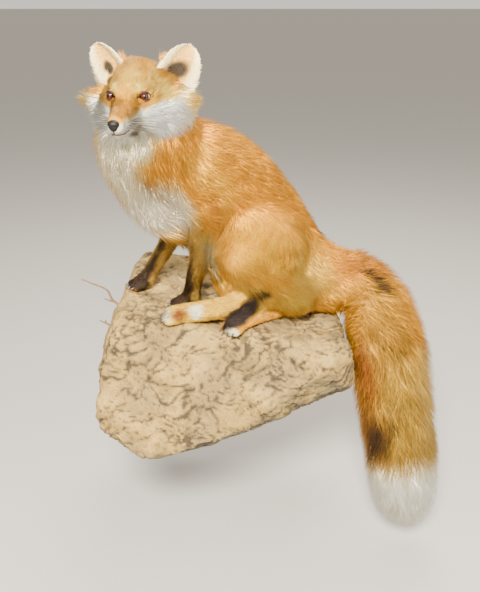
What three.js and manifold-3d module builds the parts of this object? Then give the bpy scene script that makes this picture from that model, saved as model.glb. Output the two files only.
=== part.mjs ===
// A red fox, mounted sitting on a hollow cast rock that hangs flat against a wall.
//
// Millimetres. X runs along the wall to the right, Y into the wall, Z up. The origin is on the
// back board's wall face, straight below the hanger plate's middle. Every body shape is a
// distance field built from eggs and tapering limbs that melt into each other, out to the tips
// of the coat. A field becomes a closed skin by surface nets, and plain cuts part it into the
// animal's named parts.
import * as THREE from 'three';
import { mergeVertices } from 'three/addons/utils/BufferGeometryUtils.js';
import Module from 'manifold-3d';

const wasm = await Module();
wasm.setup();

// ---- Driving dimensions ---------------------------------------------------------------------

const GAP = 0.3;                         // clearance between parts that touch

const EYES = [-153, -305, 505];          // midpoint between the eyes, the head's own zero
const HEAD_TURN = 10;                    // degrees the muzzle swings to the fox's right
const HEAD_NOD = 4;                      // degrees the muzzle drops
const EYE_SPACING = 46.6;
const EYE_RADIUS = 7.4;
const EYE_DEPTH = 1;                     // eye centre ahead of the head's zero
const NOSE_WIDTH = 16;
// An ear's root and tip are on the head's left, forward and up, with the pair shifted a little left
const EAR = { length: 52, halfWidth: 28, cup: 14, thickness: 6, sunk: 0.35 };
const EAR_ROOT = { shift: 6, out: 45, forward: -66, up: 14 };
const EAR_TIP = { shift: 8, out: 68, forward: -57, up: 58 };

const TOE = { reach: 16, outerShorter: 3, fan: 2, drop: 1 };
const CLAW = { length: 11, radius: 1.7, lift: 1.5, droop: 0.1 };

const BOARD_THICKNESS = 12;
const BOARD_CORNERS = [
  [-206, -84], [-100, -138], [76, -92], [140, -58], [138, 122], [-178, 162], [-206, 120],
];
const PLATE = { width: 96, height: 44, thickness: 3, z: 72 };
const KEYHOLE = { radius: 6.5, slot: 3, rise: 15 };
const HEAD_ROOM = { depth: 6, margin: 1 };   // hollow behind the keyhole for the screw head to slide in

// The finest detail of each skin, as the side of its sampling cell
const CELL = {
  head: 10.8, nose: 4.4, neck: 26, trunk: 32, thigh: 22, leg: 12.5, foot: 10.9, tail: 29, rock: 36,
};

// ---- Small vector sums ----------------------------------------------------------------------

const plus = (a, b, t = 1) => [a[0] + t * b[0], a[1] + t * b[1], a[2] + t * b[2]];
const minus = (a, b) => plus(a, b, -1);
const dot = (a, b) => a[0] * b[0] + a[1] * b[1] + a[2] * b[2];
const cross = (a, b) => [a[1] * b[2] - a[2] * b[1], a[2] * b[0] - a[0] * b[2], a[0] * b[1] - a[1] * b[0]];
const unit = (a) => a.map((v) => v / Math.hypot(...a));
const clamp = (v, low, high) => Math.min(Math.max(v, low), high);

// The head's own directions: to the fox's left, forward along the muzzle, and up
const turn = THREE.MathUtils.degToRad(HEAD_TURN);
const nod = THREE.MathUtils.degToRad(HEAD_NOD);
const LEFT = [Math.cos(turn), -Math.sin(turn), 0];
const FORWARD = [-Math.sin(turn) * Math.cos(nod), -Math.cos(turn) * Math.cos(nod), -Math.sin(nod)];
const UP = [-Math.sin(turn) * Math.sin(nod), -Math.cos(turn) * Math.sin(nod), Math.cos(nod)];
const onHead = (left, forward, up) => plus(plus(plus(EYES, LEFT, left), FORWARD, forward), UP, up);

// ---- Distance fields ------------------------------------------------------------------------

/** An egg: a centre, three half-lengths and the directions they lie along. */
function egg(centre, radii, axes = [[1, 0, 0], [0, 1, 0], [0, 0, 1]]) {
  return (p) => {
    const q = minus(p, centre);
    const s = axes.map((axis, i) => dot(q, axis) / radii[i]);
    const inner = Math.hypot(...s);
    return inner * (inner - 1) / Math.max(Math.hypot(...s.map((v, i) => v / radii[i])), 1e-9);
  };
}

/** A straight length that tapers from radius ra at a to radius rb at b. */
function taper(a, b, ra, rb) {
  const d = minus(b, a);
  const dd = dot(d, d);
  return (p) => {
    const q = minus(p, a);
    const t = clamp(dot(q, d) / dd, 0, 1);
    return Math.hypot(q[0] - t * d[0], q[1] - t * d[1], q[2] - t * d[2]) - ra - t * (rb - ra);
  };
}

/** Stations [x, y, z, radius] joined by a Catmull-Rom curve, a few short steps to each span. */
function smoothLine(stations, steps) {
  const last = stations.length - 1;
  const carriedOn = (a, b) => a.map((v, i) => 2 * v - b[i]);
  const before = carriedOn(stations[0], stations[1]);
  const after = carriedOn(stations[last], stations[last - 1]);
  const s = [before, ...stations, after];
  const line = [];
  for (let k = 0; k < last; k += 1) {
    for (let j = 0; j < steps; j += 1) {
      const t = j / steps;
      line.push(s[k].map((a, i) => {
        const [b, c, d] = [s[k + 1][i], s[k + 2][i], s[k + 3][i]];
        const bend = 2 * a - 5 * b + 4 * c - d;
        const twist = 3 * b - a - 3 * c + d;
        return 0.5 * (2 * b + (c - a) * t + bend * t ** 2 + twist * t ** 3);
      }));
    }
  }
  line.push(stations[last]);
  return line;
}

/** A limb along smooth stations. flat under 1 makes it narrower along Y than it is deep. */
function limb(stations, flat = 1, steps = 4) {
  const line = smoothLine(stations, steps).map(([x, y, z, r]) => [x, y / flat, z, r]);
  const lengths = line.slice(1).map((b, i) => taper(line[i], b, line[i][3], b[3]));
  return (p) => {
    const q = [p[0], p[1] / flat, p[2]];
    return Math.min(...lengths.map((f) => f(q))) * Math.sqrt(flat);
  };
}

/** Two distances joined with a fillet about k wide. */
function melt(a, b, k) {
  const h = Math.max(k - Math.abs(a - b), 0) / k;
  return Math.min(a, b) - h * h * k * 0.25;
}

/** Fields melted together one after another: pairs of [fillet, field]. */
function blend(first, ...rest) {
  return (p) => rest.reduce((d, [k, field]) => melt(d, field(p), k), first(p));
}

/** The four toes at the front of a foot, fanned out from its middle. */
function toeField({ heel, ball, spacing, radius }) {
  const ahead = unit(minus(ball, heel));
  const across = unit(cross(ahead, [0, 0, 1]));
  return [-1.5, -0.5, 0.5, 1.5].map((i) => {
    const root = plus(ball, across, i * spacing);
    const end = plus(root, ahead, TOE.reach - TOE.outerShorter * Math.abs(i));
    const tip = plus(plus(end, across, TOE.fan * i), [0, 0, -TOE.drop]);
    return { root, tip, ahead, field: taper(root, tip, radius, 0.8 * radius) };
  });
}

// ---- The fox --------------------------------------------------------------------------------

const HEAD_AXES = [LEFT, FORWARD, UP];
const mirrored = (make) => [-1, 1].flatMap((side) => make(side));

const skull = blend(
  egg(onHead(0, -48, 4), [37, 50, 40], HEAD_AXES),                            // braincase
  [14, egg(onHead(0, -16, -2), [26, 34, 25], HEAD_AXES)],                     // forehead
  [14, taper(onHead(0, 0, -15), onHead(0, 60, -28), 22, 12.5)],               // muzzle
  [8, taper(onHead(0, -14, -32), onHead(0, 50, -40), 18, 8)],                 // lower jaw
  ...mirrored((side) => [
    [12, egg(onHead(side * 24, -22, -18), [21, 30, 22], HEAD_AXES)],          // cheek
    [10, egg(onHead(side * 16, -6, 8), [13, 13, 8], HEAD_AXES)],              // brow
    [16, egg(onHead(side * 46, -50, -22), [32, 26, 32], HEAD_AXES)],          // ruff
    [16, taper(onHead(side * 60, -52, -14), onHead(side * 89 - 4, -57, -13), 24, 8)],   // its tip
    [8, egg(onHead(side * 26 + 6, -50, 40), [9, 12, 12], HEAD_AXES)],         // tuft inside the ear's root
  ]),
);
const orbits = [-1, 1].map((side) => egg(onHead(side * 25, 13, 0), [10, 8, 7], HEAD_AXES));
const ORBIT_EDGE = 5;                     // width of the soft edge round each eye's hollow
const head = (p) => orbits.reduce((d, orbit) => -melt(-d, orbit(p), ORBIT_EDGE), skull(p));

const neck = blend(
  limb([[-131, -248, 470, 64], [-131, -234, 438, 72], [-120, -212, 408, 76], [-96, -192, 380, 77]]),
  [16, limb([[-158, -265, 455, 52], [-156, -242, 416, 60], [-143, -220, 378, 57]])],   // throat ruff
);

const trunk = blend(
  limb([[-113, -192, 369, 79], [-50, -180, 360, 90], [14, -166, 306, 83],
    [80, -160, 214, 77], [132, -165, 186, 61]], 0.86),
  [16, limb([[-46, -195, 262, 36], [-6, -208, 208, 34]])],                              // belly
  [20, limb([[-128, -226, 324, 42], [-92, -204, 294, 38]])],                            // brisket
);

// Where each foot's toes start: heel and ball give the way that the foot points
const PAWS = {
  forepaw_left: { heel: [-82, -214, 166], ball: [-96, -219, 164], spacing: 7, radius: 7.5 },
  forepaw_right: { heel: [-161, -168, 181], ball: [-171, -173, 180], spacing: 7, radius: 7.5 },
  hindfoot_left: { heel: [25, -248, 150], ball: [-8, -280, 146], spacing: 7, radius: 7.5 },
  hindfoot_right: { heel: [-60, -264, 162], ball: [-104, -271, 160], spacing: 7.5, radius: 8 },
};

const forelegs = [
  [14, blend(limb([[-44, -225, 331, 37], [-60, -224, 263, 20], [-74, -215, 205, 15.5], [-81, -214, 172, 15]]),
    [6, limb([[-82, -214, 168, 16], [-98, -219, 163, 13]])])],
  [14, blend(limb([[-95, -150, 306, 33], [-118, -152, 253, 19], [-148, -160, 204, 14.5],
    [-161, -168, 186, 14]]),
    [6, limb([[-161, -168, 184, 15], [-174, -174, 181, 12]])])],
];
const haunchLeft = egg([35, -226, 265], [74, 44, 66]);
const haunchRight = egg([32, -112, 226], [68, 42, 62]);
const hindlegs = [
  [14, blend(haunchLeft, [16, limb([[6, -248, 249, 42], [52, -238, 207, 42], [90, -222, 174, 34]])],
    [10, limb([[64, -212, 153, 19], [25, -248, 154, 16], [-12, -284, 149, 14]])])],
  [16, blend(haunchRight, [16, limb([[-6, -140, 214, 40], [-16, -190, 190, 30], [20, -240, 178, 24]])],
    [10, limb([[36, -242, 182, 23], [-13, -258, 173, 19], [-106, -271, 164, 16]])])],
];

const tail = limb([[167, -168, 193, 47], [201, -176, 177, 55], [231, -196, 138, 62], [247, -214, 84, 66],
  [258, -230, 34, 65], [266, -246, -21, 61], [275, -260, -77, 58], [281, -272, -126, 57],
  [284, -281, -163, 51], [290, -286, -186, 33]], 1, 3);

const toes = Object.values(PAWS).flatMap((paw) => toeField(paw).map((toe) => [5, toe.field]));

const frontHalf = [head, [18, neck], [30, trunk], ...forelegs];
const fox = blend(...frontHalf, ...hindlegs, ...toes, [26, tail]);

// The body without its shins and feet, for the trunk's skin: both are cut away from it later
const torso = blend(...frontHalf, [14, haunchLeft], [16, haunchRight], [26, tail]);

// ---- The rock -------------------------------------------------------------------------------

const LEDGE = { level: 164, towardWall: 0.10, toRight: -0.135 };       // its top slopes both ways
const ledge = (x, y) => [x, y, LEDGE.level + LEDGE.towardWall * y + LEDGE.toRight * x];

// Three points on each face of the rock
const ROCK_FACES = {
  ledge: [ledge(-84, -200), ledge(-175, -140), ledge(100, -230)],
  front: [[-210, -292, 110], [-24, -355, -8], [171, -312, 118]],
  frontLow: [[-24, -355, -10], [173, -312, 111], [180, -285, 38]],
  right: [[180, -310, 114], [190, -280, 38], [166, 0, 60]],
  left: [[-228, -215, 91], [-230, -260, -10], [-229, 0, 60]],
  leftShoulder: [[-192, -160, 175], [-190, -20, 180], [-220, -200, 114]],
  leftLow: [[-233, -275, -14], [-152, -320, -73], [-218, 0, -100]],
  under: [[-148, -320, -62], [0, -330, -23], [-100, 0, -160]],
  underRight: [[0, -330, -23], [183, -280, 38], [80, 0, -110]],
};
const ROCK_HEART = [0, -150, 20];
const ROCK_ROUNDING = 14;

/** Signed distance to the plane through three points, negative on the heart's side. */
function face([a, b, c]) {
  const n = unit(cross(minus(b, a), minus(c, a)));
  const sign = dot(minus(ROCK_HEART, a), n) > 0 ? -1 : 1;
  return (p) => sign * dot(minus(p, a), n);
}

const rockFaces = Object.values(ROCK_FACES).map(face);

/** The rock: its faces rounded into each other, then swollen and hollowed by slow waves. */
function rock(p) {
  const [x, y, z] = p;
  const bulk = rockFaces.map((f) => f(p)).reduce((a, b) => -melt(-a, -b, ROCK_ROUNDING));
  const broad = 3.5 * Math.sin(x / 31 + 1.1) * Math.sin(z / 27 + 0.4) * Math.cos(y / 35);
  const small = 2 * Math.sin(x / 14 + z / 19) * Math.sin(y / 17 + z / 23 + 1);
  return bulk + broad + small;
}

// ---- From fields to closed solids -----------------------------------------------------------

/** A closed solid from points and triangles. */
function solid(points, triangles) {
  const vertProperties = new Float32Array(points.flat());
  const triVerts = new Uint32Array(triangles.flat());
  return new wasm.Manifold(new wasm.Mesh({ numProp: 3, vertProperties, triVerts }));
}

/** A closed solid from a three.js geometry, moved by a matrix. */
function solidOf(geometry, matrix = new THREE.Matrix4()) {
  const bare = geometry.clone().applyMatrix4(matrix);
  bare.deleteAttribute('normal');
  bare.deleteAttribute('uv');
  const merged = mergeVertices(bare.index ? bare.toNonIndexed() : bare, 1e-3);
  return new wasm.Manifold(new wasm.Mesh({
    numProp: 3,
    vertProperties: merged.attributes.position.array,
    triVerts: new Uint32Array(merged.index.array),
  }));
}

/** A point moved down or up the field's slope until it lies on the surface, by no more than most. */
function settled(field, point, most) {
  const here = field(point);
  const slope = [0, 1, 2].map((a) => field(point.map((v, i) => (i === a ? v + 1 : v))) - here);
  const step = -here / Math.max(dot(slope, slope), 0.25);
  return plus(point, slope, clamp(step, -most, most));
}

/**
 * Surface nets: one point in each cell that the field's zero surface crosses, at the mean of
 * the crossings, and four neighbouring points joined round each crossed edge. The outermost
 * samples count as outside, so the skin is always closed.
 */
function nets(field, low, high, cell) {
  const n = low.map((v, i) => Math.ceil((high[i] - v) / cell) + 1);
  const at = (i, j, k) => (i * n[1] + j) * n[2] + k;
  const value = new Float32Array(n[0] * n[1] * n[2]);
  for (let i = 0; i < n[0]; i += 1) {
    for (let j = 0; j < n[1]; j += 1) {
      for (let k = 0; k < n[2]; k += 1) {
        const rim = [i, j, k].some((v, a) => v === 0 || v === n[a] - 1);
        const place = [i, j, k].map((v, a) => low[a] + v * cell);
        value[at(i, j, k)] = rim ? cell / 2 : field(place);
      }
    }
  }
  const corners = [0, 1, 2, 3, 4, 5, 6, 7].map((c) => [c >> 2, (c >> 1) & 1, c & 1]);
  const edges = corners.flatMap((a, i) => corners.slice(i + 1).map((b) => [a, b]))
    .filter(([a, b]) => dot(minus(a, b), minus(a, b)) === 1);
  const points = [];
  const pointIn = new Map();
  for (let i = 0; i < n[0] - 1; i += 1) {
    for (let j = 0; j < n[1] - 1; j += 1) {
      for (let k = 0; k < n[2] - 1; k += 1) {
        const v = ([a, b, c]) => value[at(i + a, j + b, k + c)];
        const crossings = edges.filter(([a, b]) => (v(a) < 0) !== (v(b) < 0))
          .map(([a, b]) => plus(a, minus(b, a), v(a) / (v(a) - v(b))));
        if (crossings.length > 0) {
          const mean = crossings.reduce((a, b) => plus(a, b), [0, 0, 0]).map((s) => s / crossings.length);
          const point = [i, j, k].map((s, a) => low[a] + (s + mean[a]) * cell);
          const onRim = [i, j, k].some((s, a) => s === 0 || s === n[a] - 2);
          pointIn.set(at(i, j, k), points.length);
          points.push(onRim ? point : settled(field, point, cell / 3));
        }
      }
    }
  }
  const triangles = [];
  const quad = (inside, a, b, c, d) => {
    const [p, q, r, s] = (inside ? [a, b, c, d] : [d, c, b, a]).map((key) => pointIn.get(key));
    triangles.push([p, q, r], [p, r, s]);
  };
  for (let i = 0; i < n[0] - 1; i += 1) {
    for (let j = 0; j < n[1] - 1; j += 1) {
      for (let k = 0; k < n[2] - 1; k += 1) {
        const here = value[at(i, j, k)] < 0;
        if (here !== value[at(i + 1, j, k)] < 0) {
          quad(here, at(i, j - 1, k - 1), at(i, j, k - 1), at(i, j, k), at(i, j - 1, k));
        }
        if (here !== value[at(i, j + 1, k)] < 0) {
          quad(here, at(i - 1, j, k - 1), at(i - 1, j, k), at(i, j, k), at(i, j, k - 1));
        }
        if (here !== value[at(i, j, k + 1)] < 0) {
          quad(here, at(i - 1, j - 1, k), at(i, j - 1, k), at(i, j, k), at(i - 1, j, k));
        }
      }
    }
  }
  return [points, triangles];
}

/** Whether some edge is shared by more than two triangles, or lies on another edge. */
function pinched(points, triangles) {
  const uses = new Map();
  const place = points.map((p) => p.map((v) => v.toFixed(3)).join());
  for (const [a, b, c] of triangles) {
    for (const [u, v] of [[a, b], [b, c], [c, a]]) {
      const edge = [place[u], place[v]].toSorted().join();
      uses.set(edge, (uses.get(edge) ?? 0) + 1);
    }
  }
  return [...uses.values()].some((count) => count !== 2);
}

const MOST_SHIFTS = 8;
const SHIFT = [0.13, 0.29, 0.41];         // how far the cells move at each try, in cells along X, Y, Z

/** A field's skin as a solid. Where two folds pinch in one cell, the cells start elsewhere. */
function skin(field, low, high, cell, shifts = 0) {
  const start = low.map((v, axis) => v - shifts * cell * SHIFT[axis]);
  const [points, triangles] = nets(field, start, high, cell);
  if (pinched(points, triangles) && shifts < MOST_SHIFTS) {
    return skin(field, low, high, cell, shifts + 1);
  }
  return solid(points, triangles);
}

const REACH = 1500;                       // larger than the whole model

/** The turn and place that carry a shape made along one axis to a point, along a direction. */
function along(axis, way, place) {
  const [from, to] = [axis, unit(way)].map((v) => new THREE.Vector3(...v));
  const spin = new THREE.Quaternion().setFromUnitVectors(from, to);
  return new THREE.Matrix4().makeRotationFromQuaternion(spin).setPosition(...place);
}

/** Everything on the side of a plane that its normal points to, started a little past it. */
function beyond(point, normal, past = 0) {
  const geometry = new THREE.BoxGeometry(REACH, REACH, REACH).translate(0, 0, REACH / 2 + past);
  return solidOf(geometry, along([0, 0, 1], normal, point));
}

/** An egg-shaped cutter, grown by a clearance. */
function eggCutter(centre, radii, clearance = 0) {
  const geometry = new THREE.IcosahedronGeometry(1, 3).scale(...radii.map((r) => r + clearance));
  return solidOf(geometry.translate(...centre));
}

/** A square bar from a to b, used to take a leg out of the body, grown by a clearance. */
function barCutter(a, b, halfWidth, clearance = 0) {
  const length = Math.hypot(...minus(b, a));
  const side = 2 * (halfWidth + clearance);
  const geometry = new THREE.BoxGeometry(side, side, length + 2 * clearance).translate(0, 0, length / 2);
  return solidOf(geometry, along([0, 0, 1], minus(b, a), a));
}

// ---- The cuts between the named parts -------------------------------------------------------

const CUTS = {
  nape: { point: onHead(0, -58, -38), normal: [-0.1, -0.5, 0.86] },        // head from neck
  collar: { point: [-98, -198, 388], normal: [-0.45, -0.3, 0.84] },        // neck from trunk
  rump: { point: [163, -168, 195], normal: [0.97, -0.1, -0.2] },           // tail from trunk
  tailMiddle: { point: [256, -224, 56], normal: [0.15, -0.3, -0.94] },
  tailEnd: { point: [280, -271, -122], normal: [0.12, -0.2, -0.97] },
};
const above = ({ point, normal }) => beyond(point, normal, GAP / 2);
const below = ({ point, normal }) => beyond(point, normal.map((v) => -v), GAP / 2);

const HAUNCH_LEFT = { centre: [44, -272, 226], radii: [106, 74, 116] };
const HAUNCH_RIGHT = { centre: [34, -70, 208], radii: [92, 58, 92] };
const FORELEG_LEFT = { top: [-60, -226, 266], bottom: [-90, -211, 120], halfWidth: 23 };
const FORELEG_RIGHT = { top: [-112, -151, 268], bottom: [-180, -171, 130], halfWidth: 26 };
const WRIST_LEFT = { point: [-77, -215, 190], normal: [-0.2, 0, -0.98] };
const WRIST_RIGHT = { point: [-156, -165, 194], normal: [-0.5, -0.2, -0.84] };
const ANKLE_LEFT = { from: [82, -198, 140], to: [-60, -326, 138], halfWidth: 25 };
const ANKLE_RIGHT = { from: [-16, -262, 176], to: [-152, -284, 162], halfWidth: 23 };

const rockBox = [[-300, -420, -270], [260, 30, 250]];
const [rockPoints, rockTriangles] = nets(rock, ...rockBox, CELL.rock);
const rockRaw = solid(rockPoints, rockTriangles);
const OVER_LEDGE = 1.5 * GAP;
const towardFox = [-GAP, -GAP, OVER_LEDGE];         // everything that touches the rock is on these sides
const rockGrown = rockRaw.add(solid(rockPoints.map((p) => plus(p, towardFox)), rockTriangles));
const frontOfBoard = beyond([0, -BOARD_THICKNESS - GAP, 0], [0, -1, 0]);
const rockSolid = rockRaw.intersect(frontOfBoard);

const eyes = [-1, 1].map((side) => onHead(side * EYE_SPACING / 2, EYE_DEPTH, 0));
const ball = (centre, radius) => solidOf(new THREE.SphereGeometry(radius, 11, 7).translate(...centre));

const noseField = blend(
  egg(onHead(0, 68, -24), [NOSE_WIDTH / 2, 7, 6], HEAD_AXES),
  [4, egg(onHead(0, 68, -30), [NOSE_WIDTH / 3.4, 5.5, 5], HEAD_AXES)],
);
const noseBox = [plus(onHead(0, 68, -26), [-16, -16, -18]), plus(onHead(0, 68, -26), [16, 16, 18])];

/** One ear: a cupped leaf, thin at its rim, sunk a little into the head, grown by a clearance. */
function ear(side, clearance = 0) {
  const [rows, columns] = [7, 6];
  const sunk = EAR.sunk + clearance / EAR.length;
  const root = onHead(EAR_ROOT.shift + side * EAR_ROOT.out, EAR_ROOT.forward, EAR_ROOT.up);
  const tip = onHead(EAR_TIP.shift + side * EAR_TIP.out, EAR_TIP.forward, EAR_TIP.up);
  const rise = unit(minus(tip, root));
  const lean = plus(FORWARD.map((v) => 0.9 * v), LEFT, 0.35 * side);
  const front = unit(plus(lean, rise, -dot(lean, rise)));
  const across = cross(rise, front);
  const sheet = (offset) => {
    const points = [];
    for (let r = 0; r <= rows; r += 1) {
      const t = -sunk + (1 + sunk) * Math.sin(Math.PI / 2 * r / rows);
      const up = clamp(t, 0, 1);
      const halfWidth = clearance + EAR.halfWidth * Math.sqrt(1 - 0.96 * up ** 2.2);
      for (let c = 0; c <= columns; c += 1) {
        const u = 2 * c / columns - 1;
        const depth = -EAR.cup * (1 - u * u) * (1 - 0.8 * up);
        const thick = clearance + EAR.thickness / 2 * Math.sqrt(1.06 - u * u) * (1 - 0.5 * up);
        const onRise = plus(plus(root, rise, t * EAR.length), across, u * halfWidth);
        points.push(plus(onRise, front, depth + offset * thick));
      }
    }
    return points;
  };
  const points = [...sheet(1), ...sheet(-1)];
  const count = (rows + 1) * (columns + 1);
  const triangles = [];
  const quad = (a, b, c, d) => triangles.push([a, b, c], [a, c, d]);
  const id = (r, c) => r * (columns + 1) + c;
  for (let r = 0; r < rows; r += 1) {
    for (let c = 0; c < columns; c += 1) {
      quad(id(r, c), id(r + 1, c), id(r + 1, c + 1), id(r, c + 1));
      quad(count + id(r, c), count + id(r, c + 1), count + id(r + 1, c + 1), count + id(r + 1, c));
    }
    quad(id(r, 0), count + id(r, 0), count + id(r + 1, 0), id(r + 1, 0));
    quad(id(r, columns), id(r + 1, columns), count + id(r + 1, columns), count + id(r, columns));
  }
  for (let c = 0; c < columns; c += 1) {
    quad(id(0, c), id(0, c + 1), count + id(0, c + 1), count + id(0, c));
    quad(id(rows, c), count + id(rows, c), count + id(rows, c + 1), id(rows, c + 1));
  }
  const made = solid(points, triangles);
  return made.volume() > 0 ? made : solid(points, triangles.map(([a, b, c]) => [a, c, b]));
}

/** Four claws, one at the tip of each toe, to be joined to their paw. */
function claws(paw) {
  return toeField(paw).map(({ tip, ahead }) => {
    const cone = new THREE.ConeGeometry(CLAW.radius, CLAW.length, 5).translate(0, CLAW.length / 2, 0);
    const way = plus(ahead, [0, 0, -CLAW.droop]);
    return solidOf(cone, along([0, 1, 0], way, plus(tip, [0, 0, CLAW.lift])));
  });
}

/** A flat outline in X and Z, raised from back to front along Y. */
function plate(outline, back, front) {
  const settings = { depth: back - front, bevelEnabled: false, curveSegments: 8 };
  const geometry = new THREE.ExtrudeGeometry(outline, settings);
  return solidOf(geometry, new THREE.Matrix4().makeRotationX(Math.PI / 2).setPosition(0, back, 0));
}

/** An upright rectangle in X and Z, centred on x = 0. */
function oblong(halfWidth, low, high) {
  const corners = [[-halfWidth, low], [halfWidth, low], [halfWidth, high], [-halfWidth, high]];
  return new THREE.Shape(corners.map(([x, z]) => new THREE.Vector2(x, z)));
}

function plateOutline(clearance) {
  const halfHeight = PLATE.height / 2 + clearance;
  return oblong(PLATE.width / 2 + clearance, PLATE.z - halfHeight, PLATE.z + halfHeight);
}

const KEYHOLE_CENTRE = PLATE.z - KEYHOLE.rise / 2;
const PAST_WALL = 1;                      // how far a cut into the back starts outside it

/** The board on the wall: a shallow pocket for the plate, and a deeper one for the screw head. */
function board() {
  const outline = new THREE.Shape(BOARD_CORNERS.map(([x, z]) => new THREE.Vector2(x, z)));
  const pocketFloor = -PLATE.thickness - GAP;
  const pocket = plate(plateOutline(GAP), PAST_WALL, pocketFloor);
  const room = KEYHOLE.radius + HEAD_ROOM.margin;
  const roomOutline = oblong(room, KEYHOLE_CENTRE - room, KEYHOLE_CENTRE + KEYHOLE.rise + room);
  const headRoom = plate(roomOutline, PAST_WALL, pocketFloor - HEAD_ROOM.depth);
  return plate(outline, 0, -BOARD_THICKNESS).subtract(pocket).subtract(headRoom);
}

/** A steel plate let into the board's back, with a keyhole that drops over a screw head. */
function hanger() {
  const outline = plateOutline(0);
  const hole = new THREE.Path();
  const open = Math.asin(KEYHOLE.slot / KEYHOLE.radius);
  const [from, to] = [Math.PI / 2 + open, Math.PI / 2 - open + 2 * Math.PI];
  hole.absarc(0, KEYHOLE_CENTRE, KEYHOLE.radius, from, to, false);
  hole.absarc(0, KEYHOLE_CENTRE + KEYHOLE.rise, KEYHOLE.slot, 0, Math.PI, false);
  hole.closePath();
  outline.holes.push(hole);
  return plate(outline, 0, -PLATE.thickness);
}

/** A round twig along stations [x, y, z, radius], closed at both ends. */
function twig(stations, sides = 5) {
  const line = smoothLine(stations, 2);
  const points = line.flatMap(([x, y, z, r], i) => {
    const way = unit(minus(line[Math.min(i + 1, line.length - 1)], line[Math.max(i - 1, 0)]));
    const side = unit(cross(way, [0, 1, 0]));
    const over = cross(way, side);
    return Array.from({ length: sides }, (_, k) => {
      const angle = 2 * Math.PI * k / sides;
      return plus(plus([x, y, z], side, r * Math.cos(angle)), over, r * Math.sin(angle));
    });
  });
  const triangles = [];
  const last = (line.length - 1) * sides;
  for (let k = 0; k < sides; k += 1) {
    const next = (k + 1) % sides;
    for (let i = 0; i < last; i += sides) {
      triangles.push([i + k, i + next, i + sides + next], [i + k, i + sides + next, i + sides + k]);
    }
    if (k > 1) {
      triangles.push([0, k, k - 1], [last, last + k - 1, last + k]);
    }
  }
  return solid(points, triangles);
}

const TWIGS = {
  twig_upper: [
    [[-196, -185, 136, 2.8], [-209, -185, 147, 2.4], [-218, -185, 156, 2.1], [-226, -185, 173, 1.7],
      [-248, -186, 184, 1.3], [-268, -188, 194, 0.9]],
    [[-215, -185, 152, 1.9], [-222, -186, 153.5, 1.4], [-231, -187, 158, 0.9]],
  ],
  twig_lower: [
    [[-200, -205, 108, 2.4], [-217, -205, 115, 1.9], [-226, -205, 119, 1.6], [-238, -206, 126, 0.9]],
    [[-225, -205, 118.5, 1.5], [-227, -205, 122, 1.2], [-228, -205, 126, 0.9]],
  ],
};

/** A foot or paw: skin inside its box, its claws, and the rock taken away from under it. */
function foot(name, low, high, region, ...taken) {
  const flesh = skin(fox, low, high, CELL.foot).intersect(region);
  const whole = claws(PAWS[name]).reduce((a, b) => a.add(b), flesh);
  return taken.reduce((a, b) => a.subtract(b), whole.subtract(rockGrown));
}

const takeHaunchLeft = (clearance) => eggCutter(HAUNCH_LEFT.centre, HAUNCH_LEFT.radii, clearance);
const takeHaunchRight = (clearance) => eggCutter(HAUNCH_RIGHT.centre, HAUNCH_RIGHT.radii, clearance);
const leg = ({ top, bottom, halfWidth }, clearance) => barCutter(top, bottom, halfWidth, clearance);
const ankle = ({ from, to, halfWidth }, clearance) => barCutter(from, to, halfWidth, clearance);

const body = skin(torso, [-260, -380, 80], [240, -40, 500], CELL.trunk);
const haunchSkin = skin(fox, [-90, -340, 90], [170, -30, 350], CELL.thigh);
const foreSkin = skin(fox, [-230, -300, 130], [0, -90, 300], CELL.leg);
const tailSkin = skin(fox, [120, -380, -250], [370, -90, 280], CELL.tail);

const cutAll = (whole, ...cutters) => cutters.reduce((a, b) => a.subtract(b), whole);

const headSkin = skin(fox, [-290, -420, 420], [0, -150, 580], CELL.head);
const neckSkin = skin(fox, [-270, -380, 300], [20, -90, 520], CELL.neck);
const noseRoom = skin((p) => noseField(p) - 2 * GAP, ...noseBox, CELL.nose);
const eyeRooms = eyes.map((eye) => ball(eye, EYE_RADIUS + GAP));
const wristLeft = leg(FORELEG_LEFT, 0).intersect(above(WRIST_LEFT));
const wristRight = leg(FORELEG_RIGHT, 0).intersect(above(WRIST_RIGHT));
const legRooms = [leg(FORELEG_LEFT, GAP), leg(FORELEG_RIGHT, GAP)];
const ankleRooms = [ankle(ANKLE_LEFT, GAP), ankle(ANKLE_RIGHT, GAP)];

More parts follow.
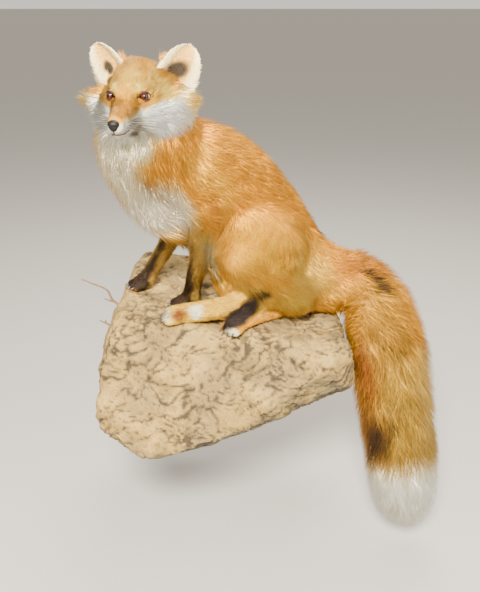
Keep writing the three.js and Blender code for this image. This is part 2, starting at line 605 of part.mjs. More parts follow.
const SOLIDS = {
  head: cutAll(headSkin.intersect(above(CUTS.nape)), ...eyeRooms, ear(-1, GAP), ear(1, GAP), noseRoom),
  neck: neckSkin.intersect(below(CUTS.nape)).intersect(above(CUTS.collar)),
  trunk: cutAll(body.intersect(below(CUTS.collar)).intersect(below(CUTS.rump)),
    takeHaunchLeft(GAP), takeHaunchRight(GAP), ...legRooms, ...ankleRooms, rockGrown),
  thigh_left: cutAll(haunchSkin.intersect(takeHaunchLeft(0)), ...ankleRooms, legRooms[0], rockGrown),
  thigh_right: cutAll(haunchSkin.intersect(takeHaunchRight(0)), takeHaunchLeft(GAP), rockGrown),
  foreleg_left: cutAll(foreSkin.intersect(leg(FORELEG_LEFT, 0)), above(WRIST_LEFT)),
  foreleg_right: cutAll(foreSkin.intersect(leg(FORELEG_RIGHT, 0)), above(WRIST_RIGHT)),
  eye_right: ball(eyes[0], EYE_RADIUS),
  eye_left: ball(eyes[1], EYE_RADIUS),
  ear_right: ear(-1),
  ear_left: ear(1),
  nose: skin(noseField, ...noseBox, CELL.nose),
  forepaw_left: foot('forepaw_left', [-140, -260, 120], [-40, -170, 230], wristLeft, ankleRooms[1]),
  forepaw_right: foot('forepaw_right', [-230, -220, 120], [-120, -120, 240], wristRight),
  hindfoot_left: foot('hindfoot_left', [-70, -330, 100], [110, -160, 210], ankle(ANKLE_LEFT, 0)),
  hindfoot_right: foot('hindfoot_right', [-160, -320, 110], [20, -210, 220],
    ankle(ANKLE_RIGHT, 0), ankleRooms[0]),
  tail_root: tailSkin.intersect(above(CUTS.rump)).intersect(below(CUTS.tailMiddle)),
  tail_brush: tailSkin.intersect(above(CUTS.tailMiddle)).intersect(below(CUTS.tailEnd)),
  tail_tip: tailSkin.intersect(above(CUTS.tailEnd)),
  rock: rockSolid,
  back_board: board(),
  hanger_plate: hanger(),
};

for (const [name, branches] of Object.entries(TWIGS)) {
  SOLIDS[name] = branches.map((branch) => twig(branch)).reduce((a, b) => a.add(b)).subtract(rockGrown);
}

// ---- Surfaces -------------------------------------------------------------------------------

const SURFACES = {
  coat: { color: 0xc9812f, roughness: 0.85, metalness: 0 },
  stocking: { color: 0x33251c, roughness: 0.85, metalness: 0 },
  paleFoot: { color: 0xc79a5c, roughness: 0.85, metalness: 0 },
  earHair: { color: 0xd8c3a0, roughness: 0.85, metalness: 0 },
  brush: { color: 0xb98d52, roughness: 0.85, metalness: 0 },
  whiteHair: { color: 0xe6dccb, roughness: 0.85, metalness: 0 },
  glass: { color: 0x2a150a, roughness: 0.08, metalness: 0 },
  nosePad: { color: 0x171413, roughness: 0.4, metalness: 0 },
  castRock: { color: 0xb3a27d, roughness: 0.9, metalness: 0 },
  plywood: { color: 0xb48b5c, roughness: 0.7, metalness: 0 },
  steel: { color: 0x9a9da0, roughness: 0.4, metalness: 1 },
  bark: { color: 0x6b5236, roughness: 0.9, metalness: 0 },
};
const SURFACE_OF = {
  foreleg_left: 'stocking', foreleg_right: 'stocking', forepaw_left: 'stocking', forepaw_right: 'stocking',
  hindfoot_left: 'stocking', hindfoot_right: 'paleFoot', ear_left: 'earHair', ear_right: 'earHair',
  eye_left: 'glass', eye_right: 'glass', nose: 'nosePad', tail_root: 'brush', tail_brush: 'brush',
  tail_tip: 'whiteHair', rock: 'castRock', back_board: 'plywood', hanger_plate: 'steel',
  twig_upper: 'bark', twig_lower: 'bark',
};

// ---- From solids to named meshes ------------------------------------------------------------

// Needles that a cut leaves are closed up below the first of these lengths that leaves a sound mesh
const SHORTEST_EDGES = [0.5, 0.3, 0.8, 0.15, 1.2];

/** Groups of numbers 0 to count - 1, joined in pairs. */
function groups(count) {
  const parent = Array.from({ length: count }, (_, i) => i);
  const find = (i) => {
    while (parent[i] !== i) {
      parent[i] = parent[parent[i]];
      i = parent[i];
    }
    return i;
  };
  const join = (a, b) => {
    parent[find(a)] = find(b);
  };
  return { find, join };
}

/** Edges shorter than the limit are closed up, again and again, and collapsed triangles dropped. */
function welded(points, triangles, limit) {
  const near = groups(points.length);
  const moved = new Set();
  for (const [a, b, c] of triangles) {
    for (const [u, v] of [[a, b], [b, c], [c, a]]) {
      if (!moved.has(u) && !moved.has(v) && Math.hypot(...minus(points[u], points[v])) < limit) {
        near.join(u, v);
        points[near.find(u)] = plus(points[u], minus(points[v], points[u]), 0.5);
        moved.add(u).add(v);
      }
    }
  }
  const kept = triangles.map((t) => t.map(near.find)).filter(([a, b, c]) => a !== b && b !== c && c !== a);
  const copies = new Map();
  const corners = (t) => t.toSorted().join();
  kept.forEach((t) => copies.set(corners(t), (copies.get(corners(t)) ?? 0) + 1));
  const single = kept.filter((t) => copies.get(corners(t)) === 1);
  return moved.size > 0 ? welded(points, single, limit) : single;
}

/** The triangles of the body with the most of them: a cut's loose crumbs are dropped. */
function withoutCrumbs(triangles) {
  const body = groups(triangles.length);
  const firstOn = new Map();
  triangles.forEach(([a, b, c], t) => {
    for (const edge of [[a, b], [b, c], [c, a]].map((pair) => pair.toSorted().join())) {
      body.join(t, firstOn.get(edge) ?? t);
      firstOn.set(edge, t);
    }
  });
  const counts = new Map();
  triangles.forEach((_, t) => counts.set(body.find(t), (counts.get(body.find(t)) ?? 0) + 1));
  const [main] = [...counts].sort((a, b) => b[1] - a[1])[0];
  return triangles.filter((_, t) => body.find(t) === main);
}

/** A solid as a named mesh, with its surface. */
function node(name, made) {
  const { vertProperties, triVerts } = made.getMesh();
  const three = (list, i) => [...list.slice(3 * i, 3 * i + 3)];
  const inThrees = (list) => Array.from({ length: list.length / 3 }, (_, i) => three(list, i));
  const versions = SHORTEST_EDGES.map((limit) => {
    const points = inThrees(vertProperties);
    return { points, triangles: withoutCrumbs(welded(points, inThrees(triVerts), limit)) };
  });
  const sound = versions.find((version) => !pinched(version.points, version.triangles));
  const { points, triangles } = sound ?? versions[0];
  const geometry = new THREE.BufferGeometry();
  geometry.setAttribute('position', new THREE.Float32BufferAttribute(points.flat(), 3));
  geometry.setIndex(triangles.flat());
  geometry.computeVertexNormals();
  const surface = SURFACES[SURFACE_OF[name] ?? 'coat'];
  const mesh = new THREE.Mesh(geometry, new THREE.MeshStandardMaterial(surface));
  mesh.name = name;
  return mesh;
}

const group = new THREE.Group();
for (const [name, made] of Object.entries(SOLIDS)) {
  group.add(node(name, made));
}
export default group;
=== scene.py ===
import bpy
import numpy as np
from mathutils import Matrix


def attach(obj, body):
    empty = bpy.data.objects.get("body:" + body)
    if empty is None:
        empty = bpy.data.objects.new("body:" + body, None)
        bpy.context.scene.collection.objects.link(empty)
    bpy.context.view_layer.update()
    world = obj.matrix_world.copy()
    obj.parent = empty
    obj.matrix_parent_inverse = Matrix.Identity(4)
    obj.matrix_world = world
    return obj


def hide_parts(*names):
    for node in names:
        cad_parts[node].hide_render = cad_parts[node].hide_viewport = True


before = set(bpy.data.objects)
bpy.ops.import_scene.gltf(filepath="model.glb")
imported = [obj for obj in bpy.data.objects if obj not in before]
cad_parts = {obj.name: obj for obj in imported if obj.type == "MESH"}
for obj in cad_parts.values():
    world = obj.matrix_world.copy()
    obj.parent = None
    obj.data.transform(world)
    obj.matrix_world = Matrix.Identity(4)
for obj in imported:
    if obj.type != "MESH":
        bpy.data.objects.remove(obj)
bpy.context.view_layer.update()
rng = np.random.default_rng(20)

# ---- The mannikin's form -------------------------------------------------------------------------
# The polyurethane form under the skin, as distance fields of eggs and tapering limbs melted into
# each other. Each shape has the depth of the coat that lies over it, so the same shapes give both
# the skin, without the coat, and the outline, at the tips of the coat.

EYES = np.array([-153.0, -305.0, 505.0])      # midpoint between the eyes, the head's own zero
HEAD_TURN = np.radians(10)
HEAD_NOD = np.radians(4)
EYE_SPACING = 46.6
LEFT = np.array([np.cos(HEAD_TURN), -np.sin(HEAD_TURN), 0])
FORWARD = np.array([-np.sin(HEAD_TURN) * np.cos(HEAD_NOD), -np.cos(HEAD_TURN) * np.cos(HEAD_NOD),
                    -np.sin(HEAD_NOD)])
UP = np.cross(LEFT, -FORWARD)
HEAD_AXES = np.array([LEFT, FORWARD, UP])
WORLD_AXES = np.eye(3)


def unit(v):
    """Vectors divided by their lengths."""
    return v / np.maximum(np.linalg.norm(v, axis=-1, keepdims=True), 1e-9)


def on_head(left, forward, up):
    """The point that far to the fox's left, forward and up from between the eyes."""
    return EYES + left * LEFT + forward * FORWARD + up * UP


def egg(p, centre, radii, axes=WORLD_AXES):
    """About the distance to an ellipsoid: k(k - 1) / g, where k is the length of p over the radii
    and g is the length of p over the squared radii."""
    q = (p - np.asarray(centre)) @ axes.T
    k = np.linalg.norm(q / radii, axis=-1)
    return k * (k - 1) / np.maximum(np.linalg.norm(q / np.square(radii), axis=-1), 1e-9)


def taper(p, a, b, ra, rb):
    """Distance to the nearest point of a straight line, less a radius that runs from ra to rb."""
    a, b = np.asarray(a, float), np.asarray(b, float)
    d = b - a
    t = np.clip((p - a) @ d / (d @ d), 0, 1)
    return np.linalg.norm(p - a - t[..., None] * d, axis=-1) - ra - t * (rb - ra)


def smooth_line(stations, steps):
    """Stations joined by a Catmull-Rom curve: a cubic through each pair, with its slopes taken
    from the stations on both sides."""
    s = np.asarray(stations, float)
    s = np.vstack([2 * s[0] - s[1], s, 2 * s[-1] - s[-2]])
    t = (np.arange(steps) / steps)[None, :, None]
    a, b, c, d = (s[k:len(s) - 3 + k][:, None] for k in range(4))
    line = 0.5 * (2 * b + (c - a) * t + (2 * a - 5 * b + 4 * c - d) * t ** 2
                  + (3 * b - a - 3 * c + d) * t ** 3)
    return np.vstack([line.reshape(-1, s.shape[1]), s[-2]])


def melt(a, b, k):
    """The smaller of two distances, with a fillet about k wide where they meet."""
    h = np.maximum(k - np.abs(a - b), 0) / k
    return np.minimum(a, b) - h * h * k * 0.25


def egg_shape(fillet, centre, radii, coat, flow, axes=WORLD_AXES):
    """One egg of the form: its fillet, coat depth and the way that the hair over it lies."""
    return {"kind": "egg", "fillet": fillet, "centre": centre, "radii": radii, "coat": coat,
            "flow": unit(np.asarray(flow, float)), "axes": axes}


def limb_shape(fillet, stations, way=1, flat=1.0, steps=4):
    """A limb through stations of x, y, z, radius and coat. Hair lies along it, or back if way is -1."""
    line = smooth_line(stations, steps)
    line[:, 1] /= flat
    return {"kind": "limb", "fillet": fillet, "line": line, "way": way, "flat": flat}


def shape_at(shape, p, bare):
    """Distance, coat depth and hair direction of one shape at p, down to the skin if bare is 1."""
    if shape["kind"] == "egg":
        d = egg(p, shape["centre"], shape["radii"], shape["axes"])
        coat = np.full(len(p), float(shape["coat"]))
        return d + bare * coat, coat, np.broadcast_to(shape["flow"], p.shape)
    line, flat = shape["line"], shape["flat"]
    q = p / [1, flat, 1]
    start, run = line[:-1], np.diff(line, axis=0)
    a, d = start[:, :3], run[:, :3]
    lengths = (d * d).sum(axis=1)
    along = q @ d.T - (a * d).sum(axis=1)
    t = np.clip(along / lengths, 0, 1)
    to_start = (q * q).sum(axis=1)[:, None] - 2 * q @ a.T + (a * a).sum(axis=1)
    squared = to_start - (2 * along - t * lengths) * t
    depth = start[:, 4] + t * run[:, 4]
    away = np.sqrt(np.maximum(squared, 0)) - start[:, 3] - t * run[:, 3] + bare * depth
    rows, nearest = np.arange(len(p)), away.argmin(axis=1)
    flow = shape["way"] * unit(d * [1, flat, 1])[nearest]
    return away[rows, nearest] * np.sqrt(flat), depth[rows, nearest], flow


def both_sides(make):
    """What make gives for the fox's right, -1, and for its left, 1."""
    return [shape for side in (-1, 1) for shape in make(side)]


PAWS = {                                  # where the toes start: heel and ball give the foot's way
    "forepaw_left": ([-82, -214, 166], [-96, -219, 164], 7.0, 7.5),
    "forepaw_right": ([-161, -168, 181], [-171, -173, 180], 7.0, 7.5),
    "hindfoot_left": ([25, -248, 150], [-8, -280, 146], 7.0, 7.5),
    "hindfoot_right": ([-60, -264, 162], [-104, -271, 160], 7.5, 8.0),
}                                         # then the toes' spacing and radius


def toes_of(heel, ball, spacing, radius):
    """Root, tip and way of each toe: fanned out from the ball, the outer two a little shorter."""
    ahead = unit(np.subtract(ball, heel))
    across = unit(np.cross(ahead, [0, 0, 1]))
    toes = []
    for i in (-1.5, -0.5, 0.5, 1.5):
        root = np.add(ball, across * i * spacing)
        tip = root + ahead * (16 - 3 * abs(i)) + across * 2 * i - [0, 0, 1]
        toes.append((root, tip, ahead, radius))
    return toes


BACK = -FORWARD
skull = [
    egg_shape(0, on_head(0, -48, 4), [37, 50, 40], 9, BACK - 0.25 * UP, HEAD_AXES),
    egg_shape(14, on_head(0, -16, -2), [26, 34, 25], 5, BACK + 0.3 * UP, HEAD_AXES),
    limb_shape(14, [[*on_head(0, 0, -15), 22, 4], [*on_head(0, 60, -28), 12.5, 2]], -1, 1, 1),
    limb_shape(8, [[*on_head(0, -14, -32), 18, 7], [*on_head(0, 50, -40), 8, 2]], -1, 1, 1),
    *both_sides(lambda s: [
        egg_shape(12, on_head(s * 24, -22, -18), [21, 30, 22], 9,
                  BACK + 0.6 * s * LEFT - 0.1 * UP, HEAD_AXES),
        egg_shape(10, on_head(s * 16, -6, 8), [13, 13, 8], 3, BACK + 0.5 * UP, HEAD_AXES),
        egg_shape(16, on_head(s * 46, -50, -22), [32, 26, 32], 22,
                  BACK + 1.3 * s * LEFT - 0.3 * UP, HEAD_AXES),
        limb_shape(16, [[*on_head(s * 60, -52, -14), 24, 26], [*on_head(s * 89 - 4, -57, -13), 8, 26]],
                   1, 1, 1),
        egg_shape(8, on_head(s * 26 + 6, -50, 40), [9, 12, 12], 9, UP + 0.3 * BACK, HEAD_AXES),
    ]),
]
neck = [
    limb_shape(0, [[-131, -248, 470, 64, 24], [-131, -234, 438, 72, 31], [-120, -212, 408, 76, 32],
                   [-96, -192, 380, 77, 29]]),
    limb_shape(16, [[-158, -265, 455, 52, 26], [-156, -242, 416, 60, 30], [-143, -220, 378, 57, 28]]),
]
trunk = [
    limb_shape(0, [[-113, -192, 369, 79, 28], [-50, -180, 360, 90, 26], [14, -166, 306, 83, 24],
                   [80, -160, 214, 77, 22], [132, -165, 186, 61, 24]], 1, 0.86),
    limb_shape(16, [[-46, -195, 262, 36, 16], [-6, -208, 208, 34, 14]]),
    limb_shape(20, [[-128, -226, 324, 42, 26], [-92, -204, 294, 38, 24]]),
]
forelegs = [
    [limb_shape(0, [[-44, -225, 331, 37, 14], [-60, -224, 263, 20, 7], [-74, -215, 205, 15.5, 4],
                    [-81, -214, 172, 15, 3]]),
     limb_shape(6, [[-82, -214, 168, 16, 3], [-98, -219, 163, 13, 2]])],
    [limb_shape(0, [[-95, -150, 306, 33, 13], [-118, -152, 253, 19, 7], [-148, -160, 204, 14.5, 4],
                    [-161, -168, 186, 14, 3]]),
     limb_shape(6, [[-161, -168, 184, 15, 3], [-174, -174, 181, 12, 2]])],
]
haunch_flow = [-0.25, 0, -1]
hindlegs = [
    [egg_shape(0, [35, -226, 265], [74, 44, 66], 15, haunch_flow),
     limb_shape(16, [[6, -248, 249, 42, 13], [52, -238, 207, 42, 13], [90, -222, 174, 34, 11]]),
     limb_shape(10, [[64, -212, 153, 19, 6], [25, -248, 154, 16, 3.5], [-12, -284, 149, 14, 2]])],
    [egg_shape(0, [32, -112, 226], [68, 42, 62], 15, haunch_flow),
     limb_shape(16, [[-6, -140, 214, 40, 12], [-16, -190, 190, 30, 9], [20, -240, 178, 24, 7]]),
     limb_shape(10, [[36, -242, 182, 23, 7], [-13, -258, 173, 19, 4], [-106, -271, 164, 16, 2.5]])],
]
toes = [[limb_shape(0, [[*root, radius, 1.5], [*tip, 0.8 * radius, 1]], 1, 1, 1)]
        for paw in PAWS.values() for root, tip, _, radius in toes_of(*paw)]
tail = [limb_shape(0, [[167, -168, 193, 47, 25], [201, -176, 177, 55, 36], [231, -196, 138, 62, 44],
                       [247, -214, 84, 66, 50], [258, -230, 34, 65, 50], [266, -246, -21, 61, 48],
                       [275, -260, -77, 58, 47], [281, -272, -126, 57, 48], [284, -281, -163, 51, 43],
                       [290, -286, -186, 33, 27]], 1, 1, 3)]
GROUPS = [("head", 0, skull), ("neck", 18, neck), ("trunk", 30, trunk),
          ("foreleg_left", 14, forelegs[0]), ("foreleg_right", 14, forelegs[1]),
          ("hindleg_left", 30, hindlegs[0]), ("hindleg_right", 16, hindlegs[1]),
          *[("toes", 5, toe) for toe in toes], ("tail", 26, tail)]
ORBITS = [on_head(side * 25, 13, 0) for side in (-1, 1)]


def fox_form(p, bare=0, only=None):
    """Distance to the fox: the groups melted together in turn, with a hollow for each eye. bare 0
    is the outline at the tips of the coat and bare 1 is the skin. only names the groups that can
    matter there, where the rest are far away."""
    d = None
    for name, fillet, shapes in GROUPS:
        if only and name not in only:
            continue
        g = shape_at(shapes[0], p, bare)[0]
        for shape in shapes[1:]:
            g = melt(g, shape_at(shape, p, bare)[0], shape["fillet"])
        for orbit in ORBITS if name == "head" else []:
            g = -melt(-g, egg(p, orbit, [10, 8, 7], HEAD_AXES), 5)
        d = g if d is None else melt(d, g, fillet)
    return d


def slope(field, p, here, reach=0.8):
    """A field's gradient, from its change over a short reach along each axis."""
    return np.stack([(field(p + step) - here) / reach for step in np.eye(3) * reach], axis=1)


def settle(field, p, level=0.0, rounds=2, most=6.0):
    """Points moved along the gradient until the field there has the wanted level."""
    for _ in range(rounds):
        here = field(p)
        g = slope(field, p, here)
        step = (level - here) / np.maximum((g * g).sum(axis=1), 0.25)
        p = p + g * np.clip(step, -most, most)[:, None]
    return p


STRIDE = 4                                # the first look takes every fourth sample
SAMPLES_AT_ONCE = 150000


def surface_nets(field, axes):
    """A closed surface of four-sided faces round field < 0: one point in each cell that the surface
    crosses, at the mean of its crossings, joined round each crossed edge. Only cells near the
    surface are sampled closely, found from every fourth sample."""
    shape = [len(axis) for axis in axes]
    cells = [n - 1 for n in shape]

    def at(index):
        return np.stack([axis[i] for axis, i in zip(axes, index)], axis=1)

    def corner(values, c):
        return values[c[0]:c[0] + cells[0], c[1]:c[1] + cells[1], c[2]:c[2] + cells[2]]

    coarse = [np.unique(np.append(np.arange(0, n, STRIDE), n - 1)) for n in shape]
    index = np.meshgrid(*coarse, indexing="ij")
    rough = field(at([i.ravel() for i in index])).reshape(index[0].shape)
    repeat = [np.clip(np.round(np.arange(n) / STRIDE).astype(int), 0, len(c) - 1)
              for n, c in zip(shape, coarse)]
    value = rough[np.ix_(*repeat)].astype(np.float32)
    reach = 0.9 * STRIDE * max(np.diff(axis).max() for axis in axes)
    close = np.argwhere(np.abs(value) < reach)
    for part in np.array_split(close, max(1, len(close) // SAMPLES_AT_ONCE)):
        value[tuple(part.T)] = field(at(part.T))
    corners = [(i, j, k) for i in (0, 1) for j in (0, 1) for k in (0, 1)]
    inside = value < 0
    count = sum(corner(inside, c).astype(np.int8) for c in corners)
    crossed = (count > 0) & (count < 8)
    number = np.full(cells, -1)
    number[crossed] = np.arange(crossed.sum())
    total = np.zeros((crossed.sum(), 3))
    hits = np.zeros(crossed.sum())
    for c in corners:
        for axis in range(3):
            if c[axis] == 0:
                far = tuple(1 if k == axis else c[k] for k in range(3))
                v0, v1 = corner(value, c)[crossed], corner(value, far)[crossed]
                cut = (v0 < 0) != (v1 < 0)
                place = np.tile(np.array(c, float), (len(v0), 1))
                place[:, axis] += np.where(cut, v0 / np.where(cut, v0 - v1, 1), 0)
                total[cut] += place[cut]
                hits[cut] += 1
    where = np.argwhere(crossed)
    part = total / hits[:, None]
    points = np.stack([axis[w] + part[:, k] * (axis[w + 1] - axis[w])
                       for k, (axis, w) in enumerate(zip(axes, where.T))], axis=1)
    faces = []
    for axis in range(3):
        u, v = (axis + 1) % 3, (axis + 2) % 3
        low = np.take(inside, range(shape[axis] - 1), axis)
        changed = np.argwhere(low != np.take(inside, range(1, shape[axis]), axis))
        within = [(changed[:, k] > 0) & (changed[:, k] < shape[k] - 1) for k in (u, v)]
        changed = changed[within[0] & within[1]]
        steps = np.eye(3, dtype=int)
        quads = np.stack([number[tuple((changed - du * steps[u] - dv * steps[v]).T)]
                          for du, dv in ((1, 1), (0, 1), (0, 0), (1, 0))], axis=1)
        outward = low[tuple(changed.T)]
        quads[~outward] = quads[~outward][:, ::-1]
        faces.append(quads)
    return points, np.concatenate(faces)


def graded(low, high, coarse, *fine):
    """Sample places from low to high: coarse steps, and finer ones in each (from, to, step)."""
    places = [low]
    while places[-1] < high:
        steps = [step for start, end, step in fine if start <= places[-1] < end]
        places.append(places[-1] + (min(steps) if steps else coarse))
    return np.array(places)


def piece(name, points, faces, material, colours=None):
    """A mesh object riding on the body, from points in millimetres and rows of corners."""
    mesh = bpy.data.meshes.new(name)
    corners = faces.shape[1]
    mesh.vertices.add(len(points))
    mesh.vertices.foreach_set("co", np.asarray(points * 0.001, np.float32).ravel())
    mesh.loops.add(faces.size)
    mesh.loops.foreach_set("vertex_index", np.asarray(faces, np.int32).ravel())
    mesh.polygons.add(len(faces))
    mesh.polygons.foreach_set("loop_start", np.arange(0, faces.size, corners, dtype=np.int32))
    mesh.polygons.foreach_set("use_smooth", np.ones(len(faces), bool))
    mesh.update(calc_edges=True)
    if colours is not None:
        layer = mesh.attributes.new("Markings", "FLOAT_COLOR", "POINT")
        layer.data.foreach_set("color", np.column_stack([colours, np.ones(len(colours))]).ravel())
    mesh.materials.append(material)
    obj = bpy.data.objects.new(name, mesh)
    bpy.context.scene.collection.objects.link(obj)
    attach(obj, "root")
    return obj


def linear(colour):
    """An sRGB hex colour as linear red, green and blue."""
    v = np.array([int(colour[i:i + 2], 16) for i in (1, 3, 5)]) / 255
    return np.where(v <= 0.04045, v / 12.92, ((v + 0.055) / 1.055) ** 2.4)


def ripple(p, size, seed):
    """Smooth noise from -1 to 1: the mean of six sine waves about that long, in random directions."""
    waves = np.random.default_rng(seed)
    ways = unit(waves.normal(size=(6, 3))) * 2 * np.pi / (size * waves.uniform(0.7, 1.4, (6, 1)))
    return np.sin(p @ ways.T + waves.uniform(0, 6.28, 6)).mean(axis=1) * 1.7


def fade(distance, width):
    """1 well inside a distance of 0 and 0 well outside, with a smooth step that wide between."""
    t = np.clip(0.5 - distance / (2 * width), 0, 1)
    return t * t * (3 - 2 * t)


def laid_over(under, over, amount):
    """One colour over another, where amount runs from 0, none of it, to 1."""
    return under + (over - under) * amount


# ---- The rock ------------------------------------------------------------------------------------
# A cast resin shell made from a mould of weathered sandstone: a sloping ledge, a broad pitted front
# and banded under-faces. It is brushed with thin sand-coloured paint, with painted shade, darker and
# cooler, on its under-faces and painted shadow in its pits and grooves.

LEDGE_LEVEL, LEDGE_TO_WALL, LEDGE_TO_RIGHT = 164.0, 0.10, -0.135


def ledge(x, y):
    """A point of the sloping top."""
    return [x, y, LEDGE_LEVEL + LEDGE_TO_WALL * y + LEDGE_TO_RIGHT * x]


ROCK_FACES = {
    "ledge": [ledge(-84, -200), ledge(-175, -140), ledge(100, -230)],
    "front": [[-210, -292, 110], [-24, -355, -8], [171, -312, 118]],
    "front_low": [[-24, -355, -10], [173, -312, 111], [180, -285, 38]],
    "right": [[180, -310, 114], [190, -280, 38], [166, 0, 60]],
    "left": [[-228, -215, 91], [-230, -260, -10], [-229, 0, 60]],
    "left_shoulder": [[-192, -160, 175], [-190, -20, 180], [-220, -200, 114]],
    "left_low": [[-233, -275, -14], [-152, -320, -73], [-218, 0, -100]],
    "under": [[-148, -320, -62], [0, -330, -23], [-100, 0, -160]],
    "under_right": [[0, -330, -23], [183, -280, 38], [80, 0, -110]],
}
ROCK_HEART = np.array([0, -150, 20])
ROCK_ROUNDING = 14
BOARD_FRONT = -12.3


def rock_form(p):
    """Distance to the rock: its planes rounded into each other, with slow swells, cut at the board."""
    d = None
    for a, b, c in (np.array(corners, float) for corners in ROCK_FACES.values()):
        n = unit(np.cross(b - a, c - a))
        n = n if (ROCK_HEART - a) @ n < 0 else -n
        away = (p - a) @ n
        d = away if d is None else -melt(-d, -away, ROCK_ROUNDING)
    x, y, z = p.T
    swell = 3.5 * np.sin(x / 31 + 1.1) * np.sin(z / 27 + 0.4) * np.cos(y / 35)
    swell += 2 * np.sin(x / 14 + z / 19) * np.sin(y / 17 + z / 23 + 1)
    return np.maximum(d + swell, p[:, 1] - BOARD_FRONT)


def rough(p, size, seed):
    """Noise in three octaves, each half as long and half as high as the one before."""
    return sum(ripple(p, size / 2 ** k, seed + 50 * k) / 2 ** k for k in range(3)) / 1.4


def rock_relief(p):
    """Height of the weathering: swirled grooves, steps of bedding that dip to the left, and pits."""
    swirl = p + 11 * np.stack([ripple(p, 64, k) for k in (1, 2, 3)], axis=1)
    grooves = -3.0 * np.exp(-(rough(swirl, 46, 4) / 0.13) ** 2)
    runnels = -1.8 * np.exp(-(rough(swirl, 19, 10) / 0.16) ** 2) * fade(ripple(p, 75, 11) - 0.1, 0.5)
    step = (swirl[:, 2] - 0.40 * swirl[:, 0] + 0.3 * swirl[:, 1]) / 13 + 0.6 * ripple(p, 40, 12)
    bedding = 2.4 * (step - np.floor(step)) * fade(-ripple(p, 90, 5) - 0.1, 0.5)
    pits = -2.0 * fade(0.62 - ripple(swirl, 9, 6), 0.25)
    return grooves + runnels + bedding + pits + 0.9 * rough(swirl, 24, 7)


rock_points, rock_quads = surface_nets(rock_form, [
    graded(-250, 206, 3.1), graded(-374, 4, 5.0, (-374, -120, 3.1)), graded(-182, 200, 3.1)])
rock_points = settle(rock_form, rock_points, 0, 1, 1.2)
on_back = rock_points[:, 1] > BOARD_FRONT - 2.5
rock_out = unit(slope(rock_form, rock_points, rock_form(rock_points)))
relief = np.where(on_back, 0, rock_relief(rock_points))
rock_points += rock_out * relief[:, None]

SAND, PALE_SAND, STAIN = linear("#8f7338"), linear("#aa8c4c"), linear("#665534")
UNDERSIDE_SHADE, RECESS_SHADOW = linear("#4d452f"), linear("#241b11")
pale = fade(-ripple(rock_points, 45, 9), 0.5)
stained = fade(-rough(rock_points, 70, 13) + 0.1, 0.6)
# Painted shade: faces that turn downwards are laid over with a darker, cooler colour
shaded = fade(rock_out[:, 2] + 0.30 + 0.15 * ripple(rock_points, 30, 8), 0.25)
# Painted shadow: the deeper the relief's grooves, runnels and pits, the darker they are painted
recess_shadow = np.clip(-relief / 2.8, 0, 1)
tint = laid_over(SAND, PALE_SAND, 0.7 * pale[:, None])
tint = laid_over(tint, STAIN, 0.6 * stained[:, None])
tint = laid_over(tint, UNDERSIDE_SHADE, 0.85 * shaded[:, None])
tint = laid_over(tint, RECESS_SHADOW, 0.9 * recess_shadow[:, None])


def add(tree, kind, inputs=None, **settings):
    """A node with its settings. Each input is set to a value, or linked where it is a socket."""
    made = tree.nodes.new(kind)
    for name, value in settings.items():
        setattr(made, name, value)
    for name, value in (inputs or {}).items():
        if isinstance(value, bpy.types.NodeSocket):
            tree.links.new(value, made.inputs[name])
        else:
            made.inputs[name].default_value = value
    return made


def finish_of(name, colour=None, **constants):
    """A new material, its tree, its shader with constants set on its own sockets, and Object places."""
    material = bpy.data.materials.new(name)
    material.use_nodes = True
    tree = material.node_tree
    shader = tree.nodes["Principled BSDF"]
    if colour:
        shader.inputs["Base Color"].default_value = (*linear(colour), 1)
    for socket, value in constants.items():
        shader.inputs[socket.replace("_", " ")].default_value = value
    place = add(tree, "ShaderNodeTexCoord").outputs["Object"]
    return material, tree, shader, place


def varied(tree, colour, place, scale, dark, light, detail=3.0):
    """A colour multiplied by noise between a dark and a light grey."""
    noise = add(tree, "ShaderNodeTexNoise", {"Vector": place, "Scale": scale, "Detail": detail})
    ramp = add(tree, "ShaderNodeMapRange", {
        "Value": noise.outputs["Fac"], "From Min": 0.3, "From Max": 0.7, "To Min": dark, "To Max": light})
    mixed = add(tree, "ShaderNodeVectorMath", {0: colour, 1: ramp.outputs["Result"]},
                operation="MULTIPLY")
    return mixed.outputs["Vector"]


# Painted cast resin: dead matt, with 1 to 4 mm grains and pits
PER_MM = 1000.0                           # texture scale of one feature to each millimetre
cast_stone, tree, shader, place = finish_of("painted_cast_stone", Roughness=0.92, IOR=1.5)
tones = add(tree, "ShaderNodeAttribute", attribute_name="Markings").outputs["Color"]
mottled = varied(tree, tones, place, PER_MM / 18, 0.82, 1.12, 6)
speckled = varied(tree, mottled, place, PER_MM / 2.6, 0.78, 1.15, 2)
tree.links.new(speckled, shader.inputs["Base Color"])
grain = add(tree, "ShaderNodeTexNoise", {
    "Vector": place, "Scale": PER_MM / 5, "Detail": 6.0, "Roughness": 0.65})
grain_bump = add(tree, "ShaderNodeBump", {
    "Height": grain.outputs["Fac"], "Distance": 0.0035, "Strength": 0.75})
tree.links.new(grain_bump.outputs["Normal"], shader.inputs["Normal"])
cast_rock = piece("cast_rock", rock_points, rock_quads, cast_stone, tint)
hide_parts("rock")

# ---- The tanned skin -----------------------------------------------------------------------------
# One tanned hide drawn over the form, under the hair: a short velvet of underfur in the colours of
# the coat. It stops at the rock, and it lies inside the outline by the depth of the coat.


SKIN_OFF_ROCK = 0.4
UNDERFUR_TONE = 0.55                      # underfur is in the shade of the hair over it


def bare_form(p):
    """Distance to the form without its coat."""
    return fox_form(p, 1)


def skin_form(p):
    """Distance to the hide: the form without its coat, less the rock."""
    return np.maximum(bare_form(p), SKIN_OFF_ROCK - rock_form(p))


skin_points, skin_quads = surface_nets(skin_form, [
    graded(-250, 342, 5, (-250, -10, 2.9), (-10, 110, 4)),
    graded(-382, -60, 5, (-382, -165, 3.1)),
    graded(-216, 566, 5, (140, 206, 2.8), (428, 566, 2.5))])
skin_points = settle(skin_form, skin_points, 0, 1, 1.0)


def spot(centre, radii, axes=WORLD_AXES):
    """A marking the shape of an egg in space."""
    return lambda p: egg(p, centre, radii, axes)


